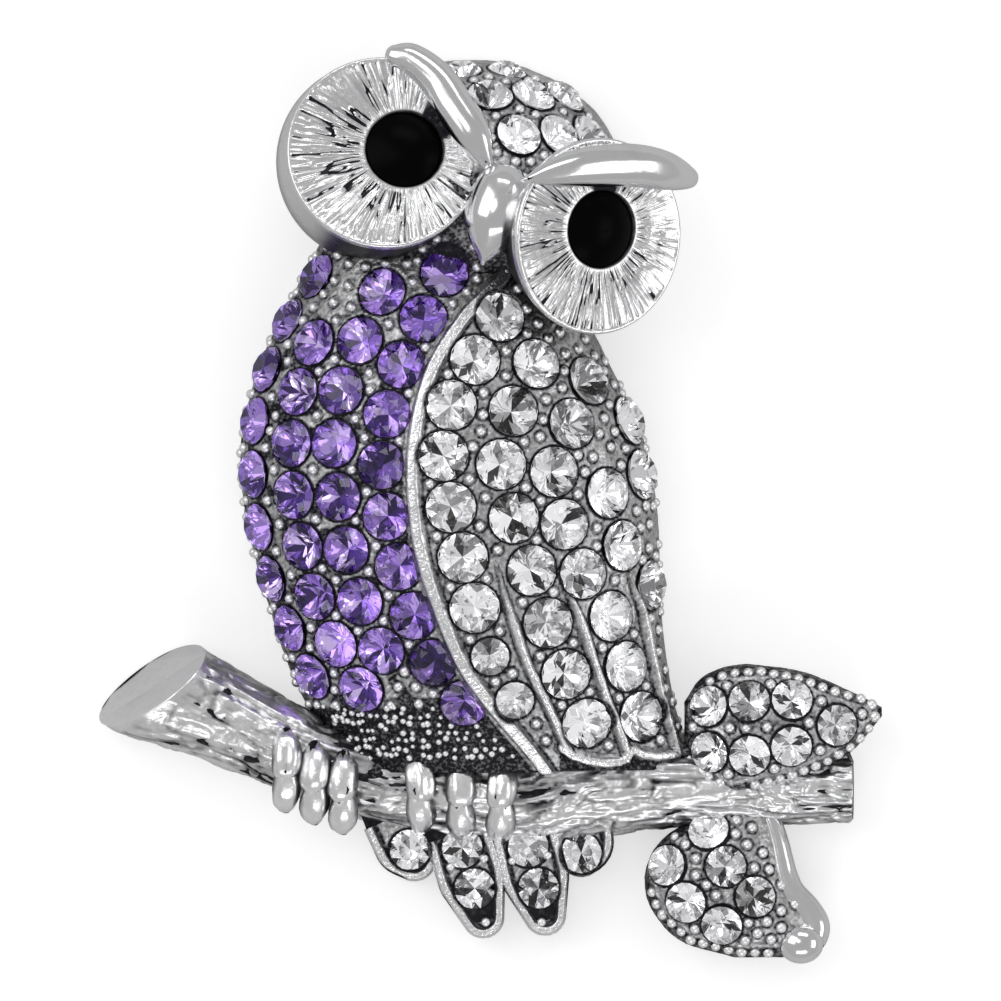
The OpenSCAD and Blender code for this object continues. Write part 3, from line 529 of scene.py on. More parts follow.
def stones_of(node_name):
    """Each stone of a node: its girdle's middle, its axis outward, its width and the way to a corner."""
    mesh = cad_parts[node_name].data
    co = np.array([v.co for v in mesh.vertices]) / MM - SHIFT
    key, inverse = np.unique(np.round(co, 3), axis=0, return_inverse=True)
    inverse = inverse.reshape(-1)
    group = np.arange(len(key))

    def top(i):
        while group[i] != i:
            i = group[i]
        return i

    for face in mesh.polygons:
        first = top(inverse[face.vertices[0]])
        for v in face.vertices[1:]:
            group[top(inverse[v])] = first
    roots = np.array([top(i) for i in range(len(key))])
    found = []
    for root in np.unique(roots):
        pts = key[roots == root]
        mid = pts.mean(0)
        axis = np.linalg.svd(pts - mid)[2][2]
        along = (pts - mid) @ axis
        if -along.min() < along.max():
            axis, along = -axis, -along
        radial = np.linalg.norm((pts - mid) - np.outer(along, axis), axis=1)
        width = 2 * radial.max()
        corner = (pts - mid)[np.argmax(np.round(radial, 3))]
        corner = corner - axis * (corner @ axis)
        girdle = mid + axis * (along.min() + TIP_DEPTH * width)
        found.append(Stone(girdle, axis, width, corner / np.linalg.norm(corner)))
    found.sort(key=lambda s: tuple(np.round(s.middle, 2)))
    return found


SET_PARTS = ("breast", "wing", "head", "tail", "upper_leaf", "lower_leaf")
STONES = {part: stones_of(part + "_stones") for part in SET_PARTS}


def gem_shape():
    """Points of a cut stone one unit wide, the faces of its crown and those of the foil behind it."""
    turn = math.tau / 16

    def ring(size, places):
        return [(size[0] * math.cos(k * turn), size[0] * math.sin(k * turn), size[1]) for k in places]

    even, odd, every = range(0, 16, 2), range(1, 16, 2), range(16)
    # The foil's upper edge is a little lower at every second corner
    foil = [(x, y, z * (2 - k % 2)) for k, (x, y, z) in enumerate(ring(FOIL, every))]
    points = ring(TABLE, even) + ring(STAR, odd) + ring(GIRDLE, every) + foil + ring(DEEP, odd)
    points.append((0, 0, -TIP_DEPTH))
    # Where the points of each ring begin
    t, m, u, w, p, tip = 0, 8, 16, 32, 48, 56
    crown = [list(range(8))]
    pavilion = []
    for k in range(8):
        n = (k + 1) % 8
        crown.append([t + k, m + k, t + n])
        crown.append([t + k, m + (k - 1) % 8, u + 2 * k, m + k])
        crown.append([m + k, u + 2 * k, u + 2 * k + 1])
        crown.append([m + k, u + 2 * k + 1, u + 2 * n])
        pavilion.append([p + k, w + 2 * k + 1, w + 2 * k])
        pavilion.append([p + k, w + 2 * n, w + 2 * k + 1])
        pavilion.append([tip, p + k, w + 2 * k, p + (k - 1) % 8])
    for k in range(16):
        n = (k + 1) % 16
        pavilion.append([u + k, w + k, w + n, u + n])
    return np.array(points), crown, pavilion


def gems(name, replaced, found, kind):
    """Cut stones with a clear crown over foil whose facets get random tones of painted reflection, in place
    of a node's plainer stones.
    """
    shape, crown, pavilion = gem_shape()
    points, faces, slots = [], [], []
    for stone in found:
        up = np.cross(stone.axis, stone.corner)
        flat = STONE_SPREAD * (shape[:, :1] * stone.corner + shape[:, 1:2] * up)
        base = len(points) * len(shape)
        points.append(stone.middle + stone.width * (flat + (shape[:, 2:] + STONE_LIFT) * stone.axis))
        faces += [[base + i for i in f] for f in crown + pavilion]
        slots += [0] * len(crown) + (1 + rng.choice(len(kind.foils), len(pavilion), p=kind.shares)).tolist()
    mesh = new_mesh(name, np.concatenate(points), faces)
    for material in (kind.crown, *kind.foils):
        mesh.materials.append(material)
    mesh.polygons.foreach_set("material_index", slots)
    mesh.polygons.foreach_set("use_smooth", [False] * len(slots))
    o = new_object(name, mesh)
    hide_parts(replaced)
    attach(o, "root")


def near_stones(grid, found):
    """Distance from each point to the edge of the nearest stone, across its axis, less than 0 inside it."""
    best = np.full(grid.shape[:-1], FAR)
    for stone in found:
        out = grid - stone.middle
        along = out @ stone.axis
        across = np.linalg.norm(out - along[..., None] * stone.axis, axis=-1)
        best = np.minimum(best, np.where(np.abs(along) < STONE_REACH, across - stone.width / 2, FAR))
    return best


# Skins over the casting, with seats for the stones and cast grains between them

BEADS = []


def seat_relief(gap):
    """Height and darkening of the metal round a stone, by the distance from the stone's edge: part blackened
    metal, part painted shade in the seat.
    """
    inside = step(0.06, -0.02, gap)
    height = 0.03 * band(gap, 0.26, 0.08) - 0.12 * band(gap, 0.03, 0.07)
    height = height - inside * (0.25 + 0.9 * np.clip(-gap, 0, 2))
    return height, np.clip(1.4 * band(gap, 0.06, 0.14) + inside, 0, 1)


def grain_places(grid, room, radius, spacing):
    """Places for cast grains near the stones, where there is most room first."""
    p = grid.reshape(-1, 3)
    free = np.where(room > GRAIN_REACH, 0.0, room).reshape(-1)
    chosen = []
    while free.max() > radius:
        k = int(np.argmax(free))
        chosen.append(p[k])
        free = np.minimum(free, np.linalg.norm(p - p[k], axis=1) - spacing + radius)
    return chosen


def add_grains(places, radius, jitter=0.08):
    for x, y, z in places:
        BEADS.append((x, y, z, radius * (1 + jitter * rng.uniform(-1, 1))))


def foot_grooves(grid, places, radius):
    """A groove round the foot of each grain, with painted shade in it."""
    best = np.full(grid.shape[:-1], FAR)
    for p in places:
        best = np.minimum(best, np.linalg.norm(grid - p, axis=-1))
    return band(best, radius * 1.2, 0.42 * radius)


def skin(name, outer, inner, found, relief, grain=BODY_GRAIN, most_lift=0.7):
    """A closed skin over part of the casting. Its outer grid gets seats for stones, relief and grains."""
    n = normals_up(outer)
    gap = near_stones(outer, found)
    height, dark = seat_relief(gap)
    more, more_dark, block = relief(outer)
    room = np.where(outer[..., 2] < LOWEST_GRAIN, 0, np.minimum(gap, block))
    radius, spacing = grain
    places = grain_places(outer, room, radius + 0.06, spacing)
    add_grains(places, radius)
    groove = foot_grooves(outer, places, radius)
    height = height + np.where(gap > -0.02, more, 0) - GROOVE_DEPTH * groove
    # The grooves round the grains' feet hold painted shade
    dark = np.maximum(np.maximum(dark, more_dark), groove)
    # Cast metal is never quite even
    coarse, fine = noise_at(outer, 2.2, 5), noise_at(outer, 6, 6)
    height = height + np.where(gap > 0.2, 0.02 * coarse + 0.015 * fine, 0) + SKIN_LIFT
    dark = np.clip(dark + np.where(gap > 0.16, 0.14 * coarse + 0.16 * fine, 0), 0, 1)
    # The skin stays just over the casting, apart from where something large stands on it
    over = casting_height(outer, n)
    lifted = (over > height - OVER_CASTING) & (over < most_lift) & (gap > 0.1)
    height = np.where(lifted, over + OVER_CASTING, height)
    rings = np.concatenate([outer + n * height[..., None], inner], axis=1)
    rings[..., 2] = np.maximum(rings[..., 2], LOWEST_SKIN)
    # The inner side, under the outer one, is painted black as shade
    marks = np.concatenate([dark, np.ones(inner.shape[:2])], axis=1)
    closed_piece(name, [(rings, marks)], METAL)


# The body


def body_frame(t):
    """Middle, half width and rise of the body's arch at shares t of its length."""
    half = BODY_W / 2 * smooth(BODY, t, 2)
    return BODY_W * smooth(BODY, t, 1), half, BODY_H * smooth(BODY, t, 3) - SIDE_H


def edge_angle(t):
    """Angle on the body's arch of the wing's leading edge."""
    return np.arccos(-smooth(WING_EDGE, t, 1))


def edge_stretch(t):
    """How much longer a way across the body is than the shortest way to the slanting edge."""
    ways = []
    for u in (t - 0.02, t + 0.02):
        mid, half, _ = body_frame(u)
        ways.append(mid + half * smooth(WING_EDGE, u, 1))
    run = (ways[1] - ways[0]) / (0.04 * BODY_LEN)
    return np.sqrt(1 + np.minimum(run * run, 1.6))


def arch(t, a, inset=0.0):
    """Points of the body's arch at shares t of its length and angles a, from its left side over the top."""
    mid, half, rise = body_frame(t)
    return xyz(mid - (half - inset) * np.cos(a), t * BODY_LEN, SIDE_H + (rise - inset) * np.sin(a))


def side(t, sign, rows, inset=0.0):
    """Points up the straight side of the body."""
    mid, half, _ = body_frame(t)
    z = np.linspace(0.05, SIDE_H, rows, endpoint=False)[None, :]
    return xyz(mid + sign * ((half - inset) * (0.98 + 0.02 * z / SIDE_H)), t * BODY_LEN, z)


def scale_at(t, a):
    """Millimetres that an angle of one radian spans on the body's arch."""
    _, half, rise = body_frame(t)
    return np.hypot(half * np.sin(a), rise * np.cos(a))


def body_angle(p):
    """Share of the length and angle of points on the body."""
    t = p[..., 1] / BODY_LEN
    mid, half, _ = body_frame(t)
    return t, np.arccos(np.clip(-(p[..., 0] - mid) / half, -1, 1))


def to_edge(p):
    """Distance of points on the body from the wing's leading edge, positive on the wing."""
    t, a = body_angle(p)
    e = edge_angle(t)
    return (a - e) * scale_at(t, e) / edge_stretch(t)


def breast_relief(p):
    """Height, painted shade and room for grains on the breast, with painted shade between its stones."""
    s = to_edge(p)
    t = p[..., 1] / BODY_LEN
    patch = noise_at(p, 1.6, 61)
    # The breast's darkening is painted shade: beside the wing's edge, on the steep low band, under the head's
    # discs and between the stones
    black_band = step(0.135, 0.115, t)
    under_head = 0.75 * step(0.955, 0.985, t)
    shade_between = LEAST_PAINTED_SHADE + 0.48 * step(-0.1, 0.3, patch) * step(1.0, 0.75, t)
    dark = np.maximum.reduce([step(-0.75, -0.45, s), black_band * (1.15 + 0.1 * patch), under_head, shade_between])
    return -0.12 * step(-0.6, -0.35, s), dark, np.where(black_band > 0.5, 0.0, -s - 0.45)


def wing_relief(p):
    """Height, painted shade and room for grains on the wing, with its rim, ridges and feather tips."""
    s = to_edge(p)
    t, a = body_angle(p)
    rim = step(0.46, 0.24, np.abs(s))
    height = (RIM_H + 0.02) * rim - 0.5 * step(-0.30, -0.55, s)
    # Painted shade on both flanks of the rim
    dark = band(s, 0.50, 0.15) + 0.7 * step(-0.22, -0.34, s)
    block = s - 0.5
    opened = np.clip((RIDGE_FROM - t) / (RIDGE_FROM - RIDGE_FULL), 0, 1)
    live = opened > 0
    wide = np.maximum(opened, 0.3) * RIDGE_W / 2
    for row in RIDGES:
        top = np.arccos(-smooth(row, np.minimum(t, RIDGE_FROM), 1))
        gap = np.abs(a - top) * scale_at(t, top)
        raised = step(1.2, 0.25, gap / wide) * np.sqrt(opened)
        height = np.maximum(height, (RIM_H + 0.02) * raised * live)
        # Painted shade along the flanks of each ridge
        dark = np.maximum(dark, live * step(0, 0.3, opened) * band(gap, wide * 1.1, 0.13))
        block = np.where(live, np.minimum(block, gap - 0.35), block)
    below = np.zeros(s.shape)
    for line in TIPS:
        gap = line_distance(p, line)
        within = (p[..., 0] > line[0][0] - 0.1) & (p[..., 0] < line[-1][0] + 0.1)
        border = np.interp(p[..., 0], [q[0] for q in line], [q[1] for q in line])
        height = np.maximum(height, RIM_H * step(0.36, 0.14, gap))
        # Painted shade along each tip's border
        dark = np.maximum(dark, 0.8 * band(gap, 0.42, 0.1))
        block = np.minimum(block, gap - 0.4)
        below = np.maximum(below, within * step(0.15, 0.32, border - p[..., 1]))
    # The tops of rim and ridges stay bright as lit tops, the rest has painted shade, and what lies below the
    # tips is a painted black shadow
    dark = np.maximum(np.where(height > 0.38, 0.0, np.maximum(dark, LEAST_PAINTED_SHADE)), below)
    height = np.where(below > 0.5, np.minimum(height, -0.05), height)
    return height, dark, np.where((below > 0.1) | (p[..., 1] < 0.6), 0, block)


# Rows and columns of the grids over the body, rows up its sides, and how far the skins reach under the head
BODY_ROWS, BREAST_COLS, WING_COLS, BACK_COLS = 330, 150, 175, 12
SIDE_ROWS, INNER_SIDE_ROWS = 7, 3
BODY_END = 1.06
# How far the wing's skin reaches over the breast's beside its rim
OVERLAP = 0.62


def body_skins():
    """The breast from the left side to the wing's edge, and the wing from there to the right side."""
    across = np.linspace(0, 1, BREAST_COLS)[None, :]
    back = np.linspace(1, 0, BACK_COLS)[None, :]
    t = np.linspace(-0.004, BODY_END, BODY_ROWS)[:, None]
    e = edge_angle(t)
    outer = np.concatenate([side(t, -1, SIDE_ROWS), arch(t, e * across)], axis=1)
    wall = side(t, -1, INNER_SIDE_ROWS, SKIN)
    inner = np.concatenate([arch(t, e * back, SKIN), wall[:, ::-1]], axis=1)
    skin("breast_skin", outer, inner, STONES["breast"], breast_relief)
    across = np.linspace(0, 1, WING_COLS)[None, :]
    t = np.linspace(0.0, BODY_END, BODY_ROWS)[:, None]
    e = edge_angle(t)
    start = e - OVERLAP * edge_stretch(t) / scale_at(t, e)
    span = math.pi - start
    outer = np.concatenate([arch(t, start + span * across), side(t, 1, SIDE_ROWS)[:, ::-1]], axis=1)
    inner = np.concatenate([side(t, 1, INNER_SIDE_ROWS, SKIN), arch(t, start + span * back, SKIN)], axis=1)
    skin("wing_skin", outer, inner, STONES["wing"], wing_relief)


# The small dots: their rows, the first one's share of the body's length and its angle, the steps from one to
# the next and how uneven they are in both, the share of them that is cast, and their radius
DOT_ROWS, DOTS_IN_ROW = 7, 28
DOT_FROM, DOT_STEP, DOT_UNEVEN = (0.028, 0.42), (0.0155, 0.054), (0.005, 0.016)
DOTS_CAST, DOT_R = 0.85, 0.17


def breast_dots():
    """Rows of small dots on the black band under the breast stones, a little uneven."""
    dots = []
    for row, k in product(range(DOT_ROWS), range(DOTS_IN_ROW)):
        t = DOT_FROM[0] + DOT_STEP[0] * row
        a = DOT_FROM[1] + DOT_STEP[1] * (k + 0.5 * (row % 2)) + rng.uniform(-DOT_UNEVEN[1], DOT_UNEVEN[1])
        if a < edge_angle(t) - 0.12 and rng.uniform() < DOTS_CAST:
            t = t + rng.uniform(-DOT_UNEVEN[0], DOT_UNEVEN[0])
            p = arch(np.array([[t]]), np.array([[a]]))[0, 0]
            if near_stones(p[None], STONES["breast"])[0] > 0.2:
                dots.append(p + [0, 0, 0.06])
    add_grains(dots, DOT_R, jitter=0.25)


# The head


def crown_point(lat, a, inset=0.0):
    """Points of the head's dome at latitudes along it and angles a over it."""
    rx, ry, rz = HEAD_W / 2 - inset, HEAD_LEN / 2 - inset, HEAD_H - inset
    z = 0.1 + (rz - 0.1) * np.cos(lat) * np.sin(a)
    return xyz(HEAD[0] - rx * np.cos(lat) * np.cos(a), HEAD[1] + ry * np.sin(lat), z)


def crown_relief(p):
    """The crown, sunk under the two eye discs, with painted shade on its ground and a painted black shadow
    between them.
    """
    y, z = p[..., 1], p[..., 2]
    wave = noise_at(p, 0.9, 31)
    height = 0.05 * wave * step(4.5, 2.5, z)
    for disc in (LEFT_DISC, RIGHT_DISC):
        out = np.hypot(p[..., 0] - disc.middle[0], y - disc.middle[1]) - DISC_R
        height = height - 0.8 * step(-0.25, -0.7, out) * step(4.4, 5.2, z)
    under = step(HEAD[1] + 1.5, HEAD[1] + 0.5, y) * step(3.0, 4.5, z)
    return height, np.maximum(0.42 + 0.15 * wave, 0.95 * under), np.where(z > 3.2, FAR, 0.0)


CROWN_ROWS, CROWN_COLS, CROWN_BACK_COLS = 170, 180, 14


def crown_skin():
    lat = np.radians(np.linspace(-84, 84, CROWN_ROWS))[:, None]
    outer = crown_point(lat, np.radians(np.linspace(1, 179, CROWN_COLS))[None, :])
    inner = crown_point(lat, np.radians(np.linspace(179, 1, CROWN_BACK_COLS))[None, :], SKIN)
    found = STONES["head"] + STONES["breast"] + STONES["wing"]
    skin("crown_skin", outer, inner, found, crown_relief, CROWN_GRAIN, most_lift=0.15)


def on_disc(p, disc):
    """Points drawn on a level disc, moved to where the disc lies with its lean."""
    ax, ay = math.radians(-disc.lean[1]), math.radians(disc.lean[0])
    x, y, z = p[..., 0], p[..., 1], p[..., 2]
    y, z = y * math.cos(ax) - z * math.sin(ax), y * math.sin(ax) + z * math.cos(ax)
    x, z = x * math.cos(ay) + z * math.sin(ay), -x * math.sin(ay) + z * math.cos(ay)
    return xyz(x + disc.middle[0], y + disc.middle[1], z + DISC_H)


# A disc's face reaches just past the casting's. Points round it, and rows from the eye to its edge
FACE_R, FACE_POINTS, FACE_ROWS = DISC_R * 1.005, 620, 56
# The bevel of its edge: how far each row stands out and how far it lies down
BEVEL = [(0.06, 0.02), (0.10, 0.10), (0.10, 0.25), (0.06, 0.5)]


def disc_face(disc, seed, strokes, polish, shadow_wedge):
    """The dished face of an eye disc, cut with rays round the eye, with its dark rays and its painted shade
    and shadow.
    """
    r = FACE_R
    ex, ey = disc.eye[0] * DISC_R, disc.eye[1] * DISC_R
    a = circle(FACE_POINTS)
    dx, dy = np.cos(a), np.sin(a)
    # Rows from the middle of the eye outward to the edge, which isn't equally far off all round
    along = ex * dx + ey * dy
    reach = -along + np.sqrt(along**2 + r * r - ex * ex - ey * ey)
    eye = EYE_R + 0.06
    under_eye = np.array([0.02, 0.5, 0.92])[:, None] * eye + 0 * a
    rad = np.concatenate([under_eye, eye + (reach - eye) * np.linspace(0, 1, FACE_ROWS)[:, None]])
    x, y = ex + rad * dx, ey + rad * dy
    from_eye, from_edge = rad - eye, r - np.hypot(x, y)
    # The rays are thin dark cuts that run outward from the eye
    big = noise_round(a, strokes, from_eye * 0.3, seed)
    mid = noise_round(a, strokes * 2.1, from_eye * 0.45, seed + 1)
    fine = noise_round(a, strokes * 4, from_eye * 0.8, seed + 2)
    cut = band(big, 0, 0.12) + 0.6 * band(mid, 0, 0.12)
    live = step(0.05, 0.45, from_eye) * step(0.03, 0.2, from_edge) * (1 - polish(x, y, from_eye))
    z = 0.11 - 0.5 * (1 - step(0.15, 1.0, np.hypot(x, y) / r))
    z = z - live * (0.10 * np.clip(cut, 0, 1.2) + 0.05 * (0.5 - 0.5 * mid) + 0.03 * fine)
    dark = live * (0.8 * step(0.8, 1.3, cut) * step(-0.2, 0.4, fine) + 0.25 * step(0.1, 0.7, mid) + 0.05)
    # A black ring round the eye is painted shade where the stone sits
    dark = np.maximum(np.clip(dark + 0.03, 0, 1), 0.95 * step(0.14, 0.02, from_eye))
    # A painted black shadow beside the eye
    way, half_width, far = shadow_wedge
    off = np.abs((np.degrees(a) - way + 180) % 360 - 180)
    beside = step(half_width + 6, half_width - 4, off + 3 * fine)
    dark = np.maximum(dark, beside * step(far + 0.2, far - 0.2, from_eye))
    # The rows under the eye stone lie deep, painted black as shade
    z[:3] = -1.25
    dark[:3] = 1
    return x, y, z, dark


def disc_piece(name, disc, seed, strokes, polish, shadow, shadow_wedge):
    """An eye disc: its face, a bevelled edge and a wall down to its foot, dark on the side of the shadow."""
    x, y, z, dark = disc_face(disc, seed, strokes, polish, shadow_wedge)
    rows, marks = [on_disc(xyz(x, y, z), disc)], [dark]
    x, y = x[-1], y[-1]
    ux, uy = x / np.hypot(x, y), y / np.hypot(x, y)
    bright, black = np.zeros((1, x.size)), np.ones((1, x.size))
    for grow, drop in BEVEL:
        wide = FACE_R + grow
        rows.append(on_disc(xyz(ux * wide, uy * wide, 0.1 - drop)[None], disc))
        marks.append(bright)
    top = rows[-1][0]
    foot_r = disc.foot_width * DISC_R * 1.01
    foot_x, foot_y = (disc.middle[k] + disc.foot[k] * DISC_R for k in (0, 1))
    foot = xyz(foot_x + ux * foot_r, foot_y + uy * foot_r, DISC_H - DISC_T + 0.05)
    # Painted shadow on the wall's shadow side, and painted shade on its lower part near the foot
    off = np.cos(np.arctan2(y, x) - math.radians(shadow))
    shade = step(math.cos(math.radians(62)), math.cos(math.radians(40)), off)
    for v in np.linspace(0.08, 1, 8):
        rows.append((top * (1 - v) + foot * v)[None])
        marks.append(0.06 + 0.94 * np.maximum(shade, 0.5 * step(0.6, 1.0, v))[None])
    # The bottom is painted black as shade
    rows.append((foot * 0.3 + foot.mean(0) * 0.7)[None])
    marks.append(black)
    closed_piece(name, [(np.concatenate(rows), np.concatenate(marks))], RAYS)


def polish_left(x, y, from_eye):
    """The smooth patches between the eye and the rays of the left disc."""
    way = np.arctan2(y, x - 1.1)
    patch = step(-0.1, 0.2, noise(way * 2.2, 3.0, 0, 77))
    return 0.95 * (step(-0.4, 0.2, -np.cos(way)) * step(0.75, 0.35, np.abs(from_eye - 0.75)) * patch)


def polish_right(x, y, from_eye):
    """The light smooth band on the right of the right disc."""
    patch = step(-0.3, 0.3, noise(x * 0.9, y * 0.9, 0, 5))
    return 0.8 * step(0.2, 0.8, np.cos(np.arctan2(y, x))) * step(0.6, 1.0, from_eye) * patch


def ridge(name, path, half_w, half_h, rows, sides, past, power=2.0):
    """A polished ridge along a smooth path, wide in the plane and high across it, closed past its ends."""
    path = np.asarray(path, float)
    first, last = path[0] - path[1], path[-1] - path[-2]
    before = path[0] + first / np.linalg.norm(first) * past
    after = path[-1] + last / np.linalg.norm(last) * past
    path = np.concatenate([[before], path, [after]])
    at = length_along(path)
    at /= at[-1]
    u = toward_ends(rows, 0.06)

    def along(values):
        return smooth(np.stack([at, np.asarray(values, float)], 1), u, 1)

    p = np.stack([along(path[:, k]) for k in range(3)], 1)
    w, h = (along([v[0], *v, v[-1]]) * rounded_ends(u, 12) for v in (half_w, half_h))
    ahead = np.gradient(p, axis=0)
    sideways = np.stack([ahead[:, 1], -ahead[:, 0], 0 * w], 1)
    sideways /= np.linalg.norm(sideways, axis=1, keepdims=True).clip(1e-9)
    ca, sa = (np.sign(v) * np.abs(v) ** (2 / power) for v in (np.cos(circle(sides)), np.sin(circle(sides))))
    wide = sideways[:, None] * (w[:, None] * ca)[..., None]
    tall = np.array([0, 0, 1]) * (h[:, None] * sa)[..., None]
    closed_piece(name, [(p[:, None] + wide + tall, 0.0)], POLISHED)


def brow(name, disc, points):
    """A brow that lies on its disc, along points in shares of the disc's radius."""
    lean_x, lean_y = (math.tan(math.radians(v)) for v in disc.lean)
    path = []
    for share_x, share_y, _ in points:
        x, y = share_x * DISC_R, share_y * DISC_R
        path.append((disc.middle[0] + x, disc.middle[1] + y, DISC_H - x * lean_x - y * lean_y + 0.1))
    half_w = [q[2] * 1.05 + 0.08 for q in points]
    half_h = [max(q[2], 0.35) * 1.1 + 0.06 for q in points]
    ridge(name, path, half_w, half_h, rows=110, sides=48, past=0.5, power=2.2)


def beak():
    ahead = (math.cos(math.radians(BEAK_TURN)), math.sin(math.radians(BEAK_TURN)))
    path = []
    for share, _, rise in BEAK:
        far = share * BEAK_LEN
        path.append((BEAK_AT[0] + far * ahead[0], BEAK_AT[1] + far * ahead[1], DISC_H + 0.2 * rise))
    half_w = [b[1] * BEAK_HALF_W + 0.12 for b in BEAK]
    half_h = [max(b[1], 0.2) * BEAK_HALF_H + 0.12 for b in BEAK]
    ridge("beak", path, half_w, half_h, rows=90, sides=48, past=0.3)


# The branch and the feet


BARK_ROWS, BARK_POINTS = 430, 124
TOE_ROWS, TOE_POINTS = 46, 30


def branch_point(t, a, grow=0.0):
    """Points of the branch at shares t of its length and angles a round it."""
    dx = 0.02 * BRANCH_LEN
    dy = (smooth(BRANCH, t + 0.01, 1) - smooth(BRANCH, t - 0.01, 1)) * BRANCH_LEN
    n = np.hypot(dx, dy)
    r = smooth(BRANCH, t, 2) * BRANCH_D / 2 * 1.015 + grow
    x = BRANCH_AT[0] + t * BRANCH_LEN + dy / n * r * np.cos(a)
    y = BRANCH_AT[1] + smooth(BRANCH, t, 1) * BRANCH_LEN - dx / n * r * np.cos(a)
    return xyz(x, y, BRANCH_AT[2] + r * np.sin(a))


def cut_end(a):
    """Where the slanted cut ends the branch at each angle round it, found by halving."""
    middle = np.array([BRANCH_AT[0], BRANCH_AT[1] + 0.151 * BRANCH_LEN, BRANCH_AT[2]])
    turn, lean = math.radians(CUT_TURN), math.radians(CUT_LEAN)
    out_way = np.array([math.cos(lean) * math.cos(turn), math.cos(lean) * math.sin(turn), math.sin(lean)])
    outside, inside = np.full(a.shape, -0.08), np.full(a.shape, 0.2)
    for _ in range(30):
        t = (outside + inside) / 2
        out = (branch_point(t, a) - middle) @ out_way > 0.02
        outside, inside = np.where(out, t, outside), np.where(out, inside, t)
    return inside


def branch():
    """The bark: long grooves that wander along the branch, a little calmer near its cut end."""
    a = circle(BARK_POINTS)
    start = cut_end(a)
    u = np.linspace(0, 1, BARK_ROWS)[:, None]
    t = start + (0.9995 - start) * u
    x = t * BRANCH_LEN

    def grain(along, turn, size, seed):
        return noise(along, np.cos(turn) * size, np.sin(turn) * size, seed)

    around = a + 0.25 * noise(x * 0.25, 0.0, 0.0, 3)
    drawn_out = x * 0.55 + 0.6 * grain(x * 0.5, a, 2, 8)
    big = grain(drawn_out * 0.8, around, 3.2, 21)
    mid = grain(drawn_out * 1.5, around, 7.5, 22)
    fine = grain(drawn_out * 2.6, around, 11, 23)
    lump = grain(x * 0.28, a, 1.2, 24)
    groove = band(big, 0, 0.14) + 0.7 * band(mid, 0, 0.16)
    calm = step(0.0, 0.02, u) * (0.8 + 0.2 * step(0.1, 0.28, t))
    grow = calm * (0.14 * lump - 0.13 * np.clip(groove, 0, 1.3) + 0.08 * mid + 0.075 * fine + 0.08)
    pts = branch_point(t, a, grow * step(1.0, 0.995, u))
    dark = 0.6 * step(0.5, 1.2, groove) + 0.5 * step(0.25, 0.75, -fine) + 0.3 * step(0.0, 0.6, -lump)
    dark = np.clip(calm * dark + 0.1, 0, 1)
    # The cut face stays bright, and a painted shadow of the owl darkens the bark where the owl sits on it
    dark[0] = 0
    owl_shadow = step(-0.4, 0.9, pts[..., 1]) * step(-11, -9, pts[..., 0]) * step(8, 5, pts[..., 0])
    dark = np.maximum(dark, 0.95 * owl_shadow * step(-0.6, 0.1, mid + 0.3 * fine))
    pts[..., 2] = np.maximum(pts[..., 2], LOWEST_BARK)
    closed_piece("branch_bark", [(pts, dark)], BARK)


def toe_joint(x, y, reach, rows, seed):
    """A creased bulge that bends over the branch, between the angles of its rows, and its darkening along its
    sides, creases and root.
    """
    first = rows[0][0] + math.degrees(rows[0][1] * TOE_W / 2 / reach)
    last = rows[-1][0] - math.degrees(rows[-1][1] * TOE_W / 2 / reach)
    u, a = toward_ends(TOE_ROWS, 0.05)[:, None], circle(TOE_POINTS)
    table = [((first - turn) / (first - last), width) for turn, width in rows]
    table = [(0.0, rows[0][1]), *table, (1.0, rows[-1][1])]
    crease = noise_round(a, 2.4, u * 1.7, seed)
    fine = noise_round(a, 5, u * 4, seed + 1)
    w = smooth(table, u, 1) * TOE_W / 2 * rounded_ends(u, 4.5) * 1.1 + 0.02
    w = w * (1 + 0.13 * crease + 0.05 * fine)
    out = reach + w * np.cos(a) * 0.95
    angle = np.radians(first + (last - first) * u)
    sway = 0.08 * np.sin(4 * u + seed)
    pts = xyz(x + w * np.sin(a) + sway, y + out * np.sin(angle), BRANCH_AT[2] + out * np.cos(angle))
    pts[..., 2] = np.maximum(pts[..., 2], LOWEST_BARK)
    creases = 0.45 * step(0.45, 0.8, -crease) * step(0.05, 0.2, w)
    dark = np.clip(0.75 * step(0.72, 0.98, np.abs(np.sin(a))) + creases, 0, 1)
    return pts, np.maximum(dark, 0.3 * step(0.10, 0.02, u))


def toes():
    """Three toes on each foot, each of two joints."""
    parts = []
    for (f, foot), k, (part, rows) in product(enumerate(FEET), (-1, 0, 1), enumerate(TOE_JOINTS)):
        x = BRANCH_AT[0] + foot[0] * BRANCH_LEN + k * foot[1] * TOE_W
        at = (x - BRANCH_AT[0]) / BRANCH_LEN
        y = BRANCH_AT[1] + float(smooth(BRANCH, at, 1)) * BRANCH_LEN - foot[2] * BRANCH_D
        reach = float(smooth(BRANCH, at, 2)) * BRANCH_D / 2 + 0.18 * TOE_W
        parts.append(toe_joint(x, y, reach, rows, seed=100 + f * 30 + (k + 1) * 7 + part))
    closed_piece("toes", parts, BARK)


# The leaves


def at_upper(p):
    """A quarter turn to the right: the leaf's length runs along +X."""
    return xyz(UPPER_AT[0] + p[..., 1], UPPER_AT[1] - p[..., 0], UPPER_AT[2] + p[..., 2])


def at_lower(p):
    """Half a turn: the leaf hangs down."""
    return xyz(LOWER_AT[0] - p[..., 0], LOWER_AT[1] - p[..., 1], LOWER_AT[2] + p[..., 2])


LEAF_ROWS, LEAF_COLS = 160, 112


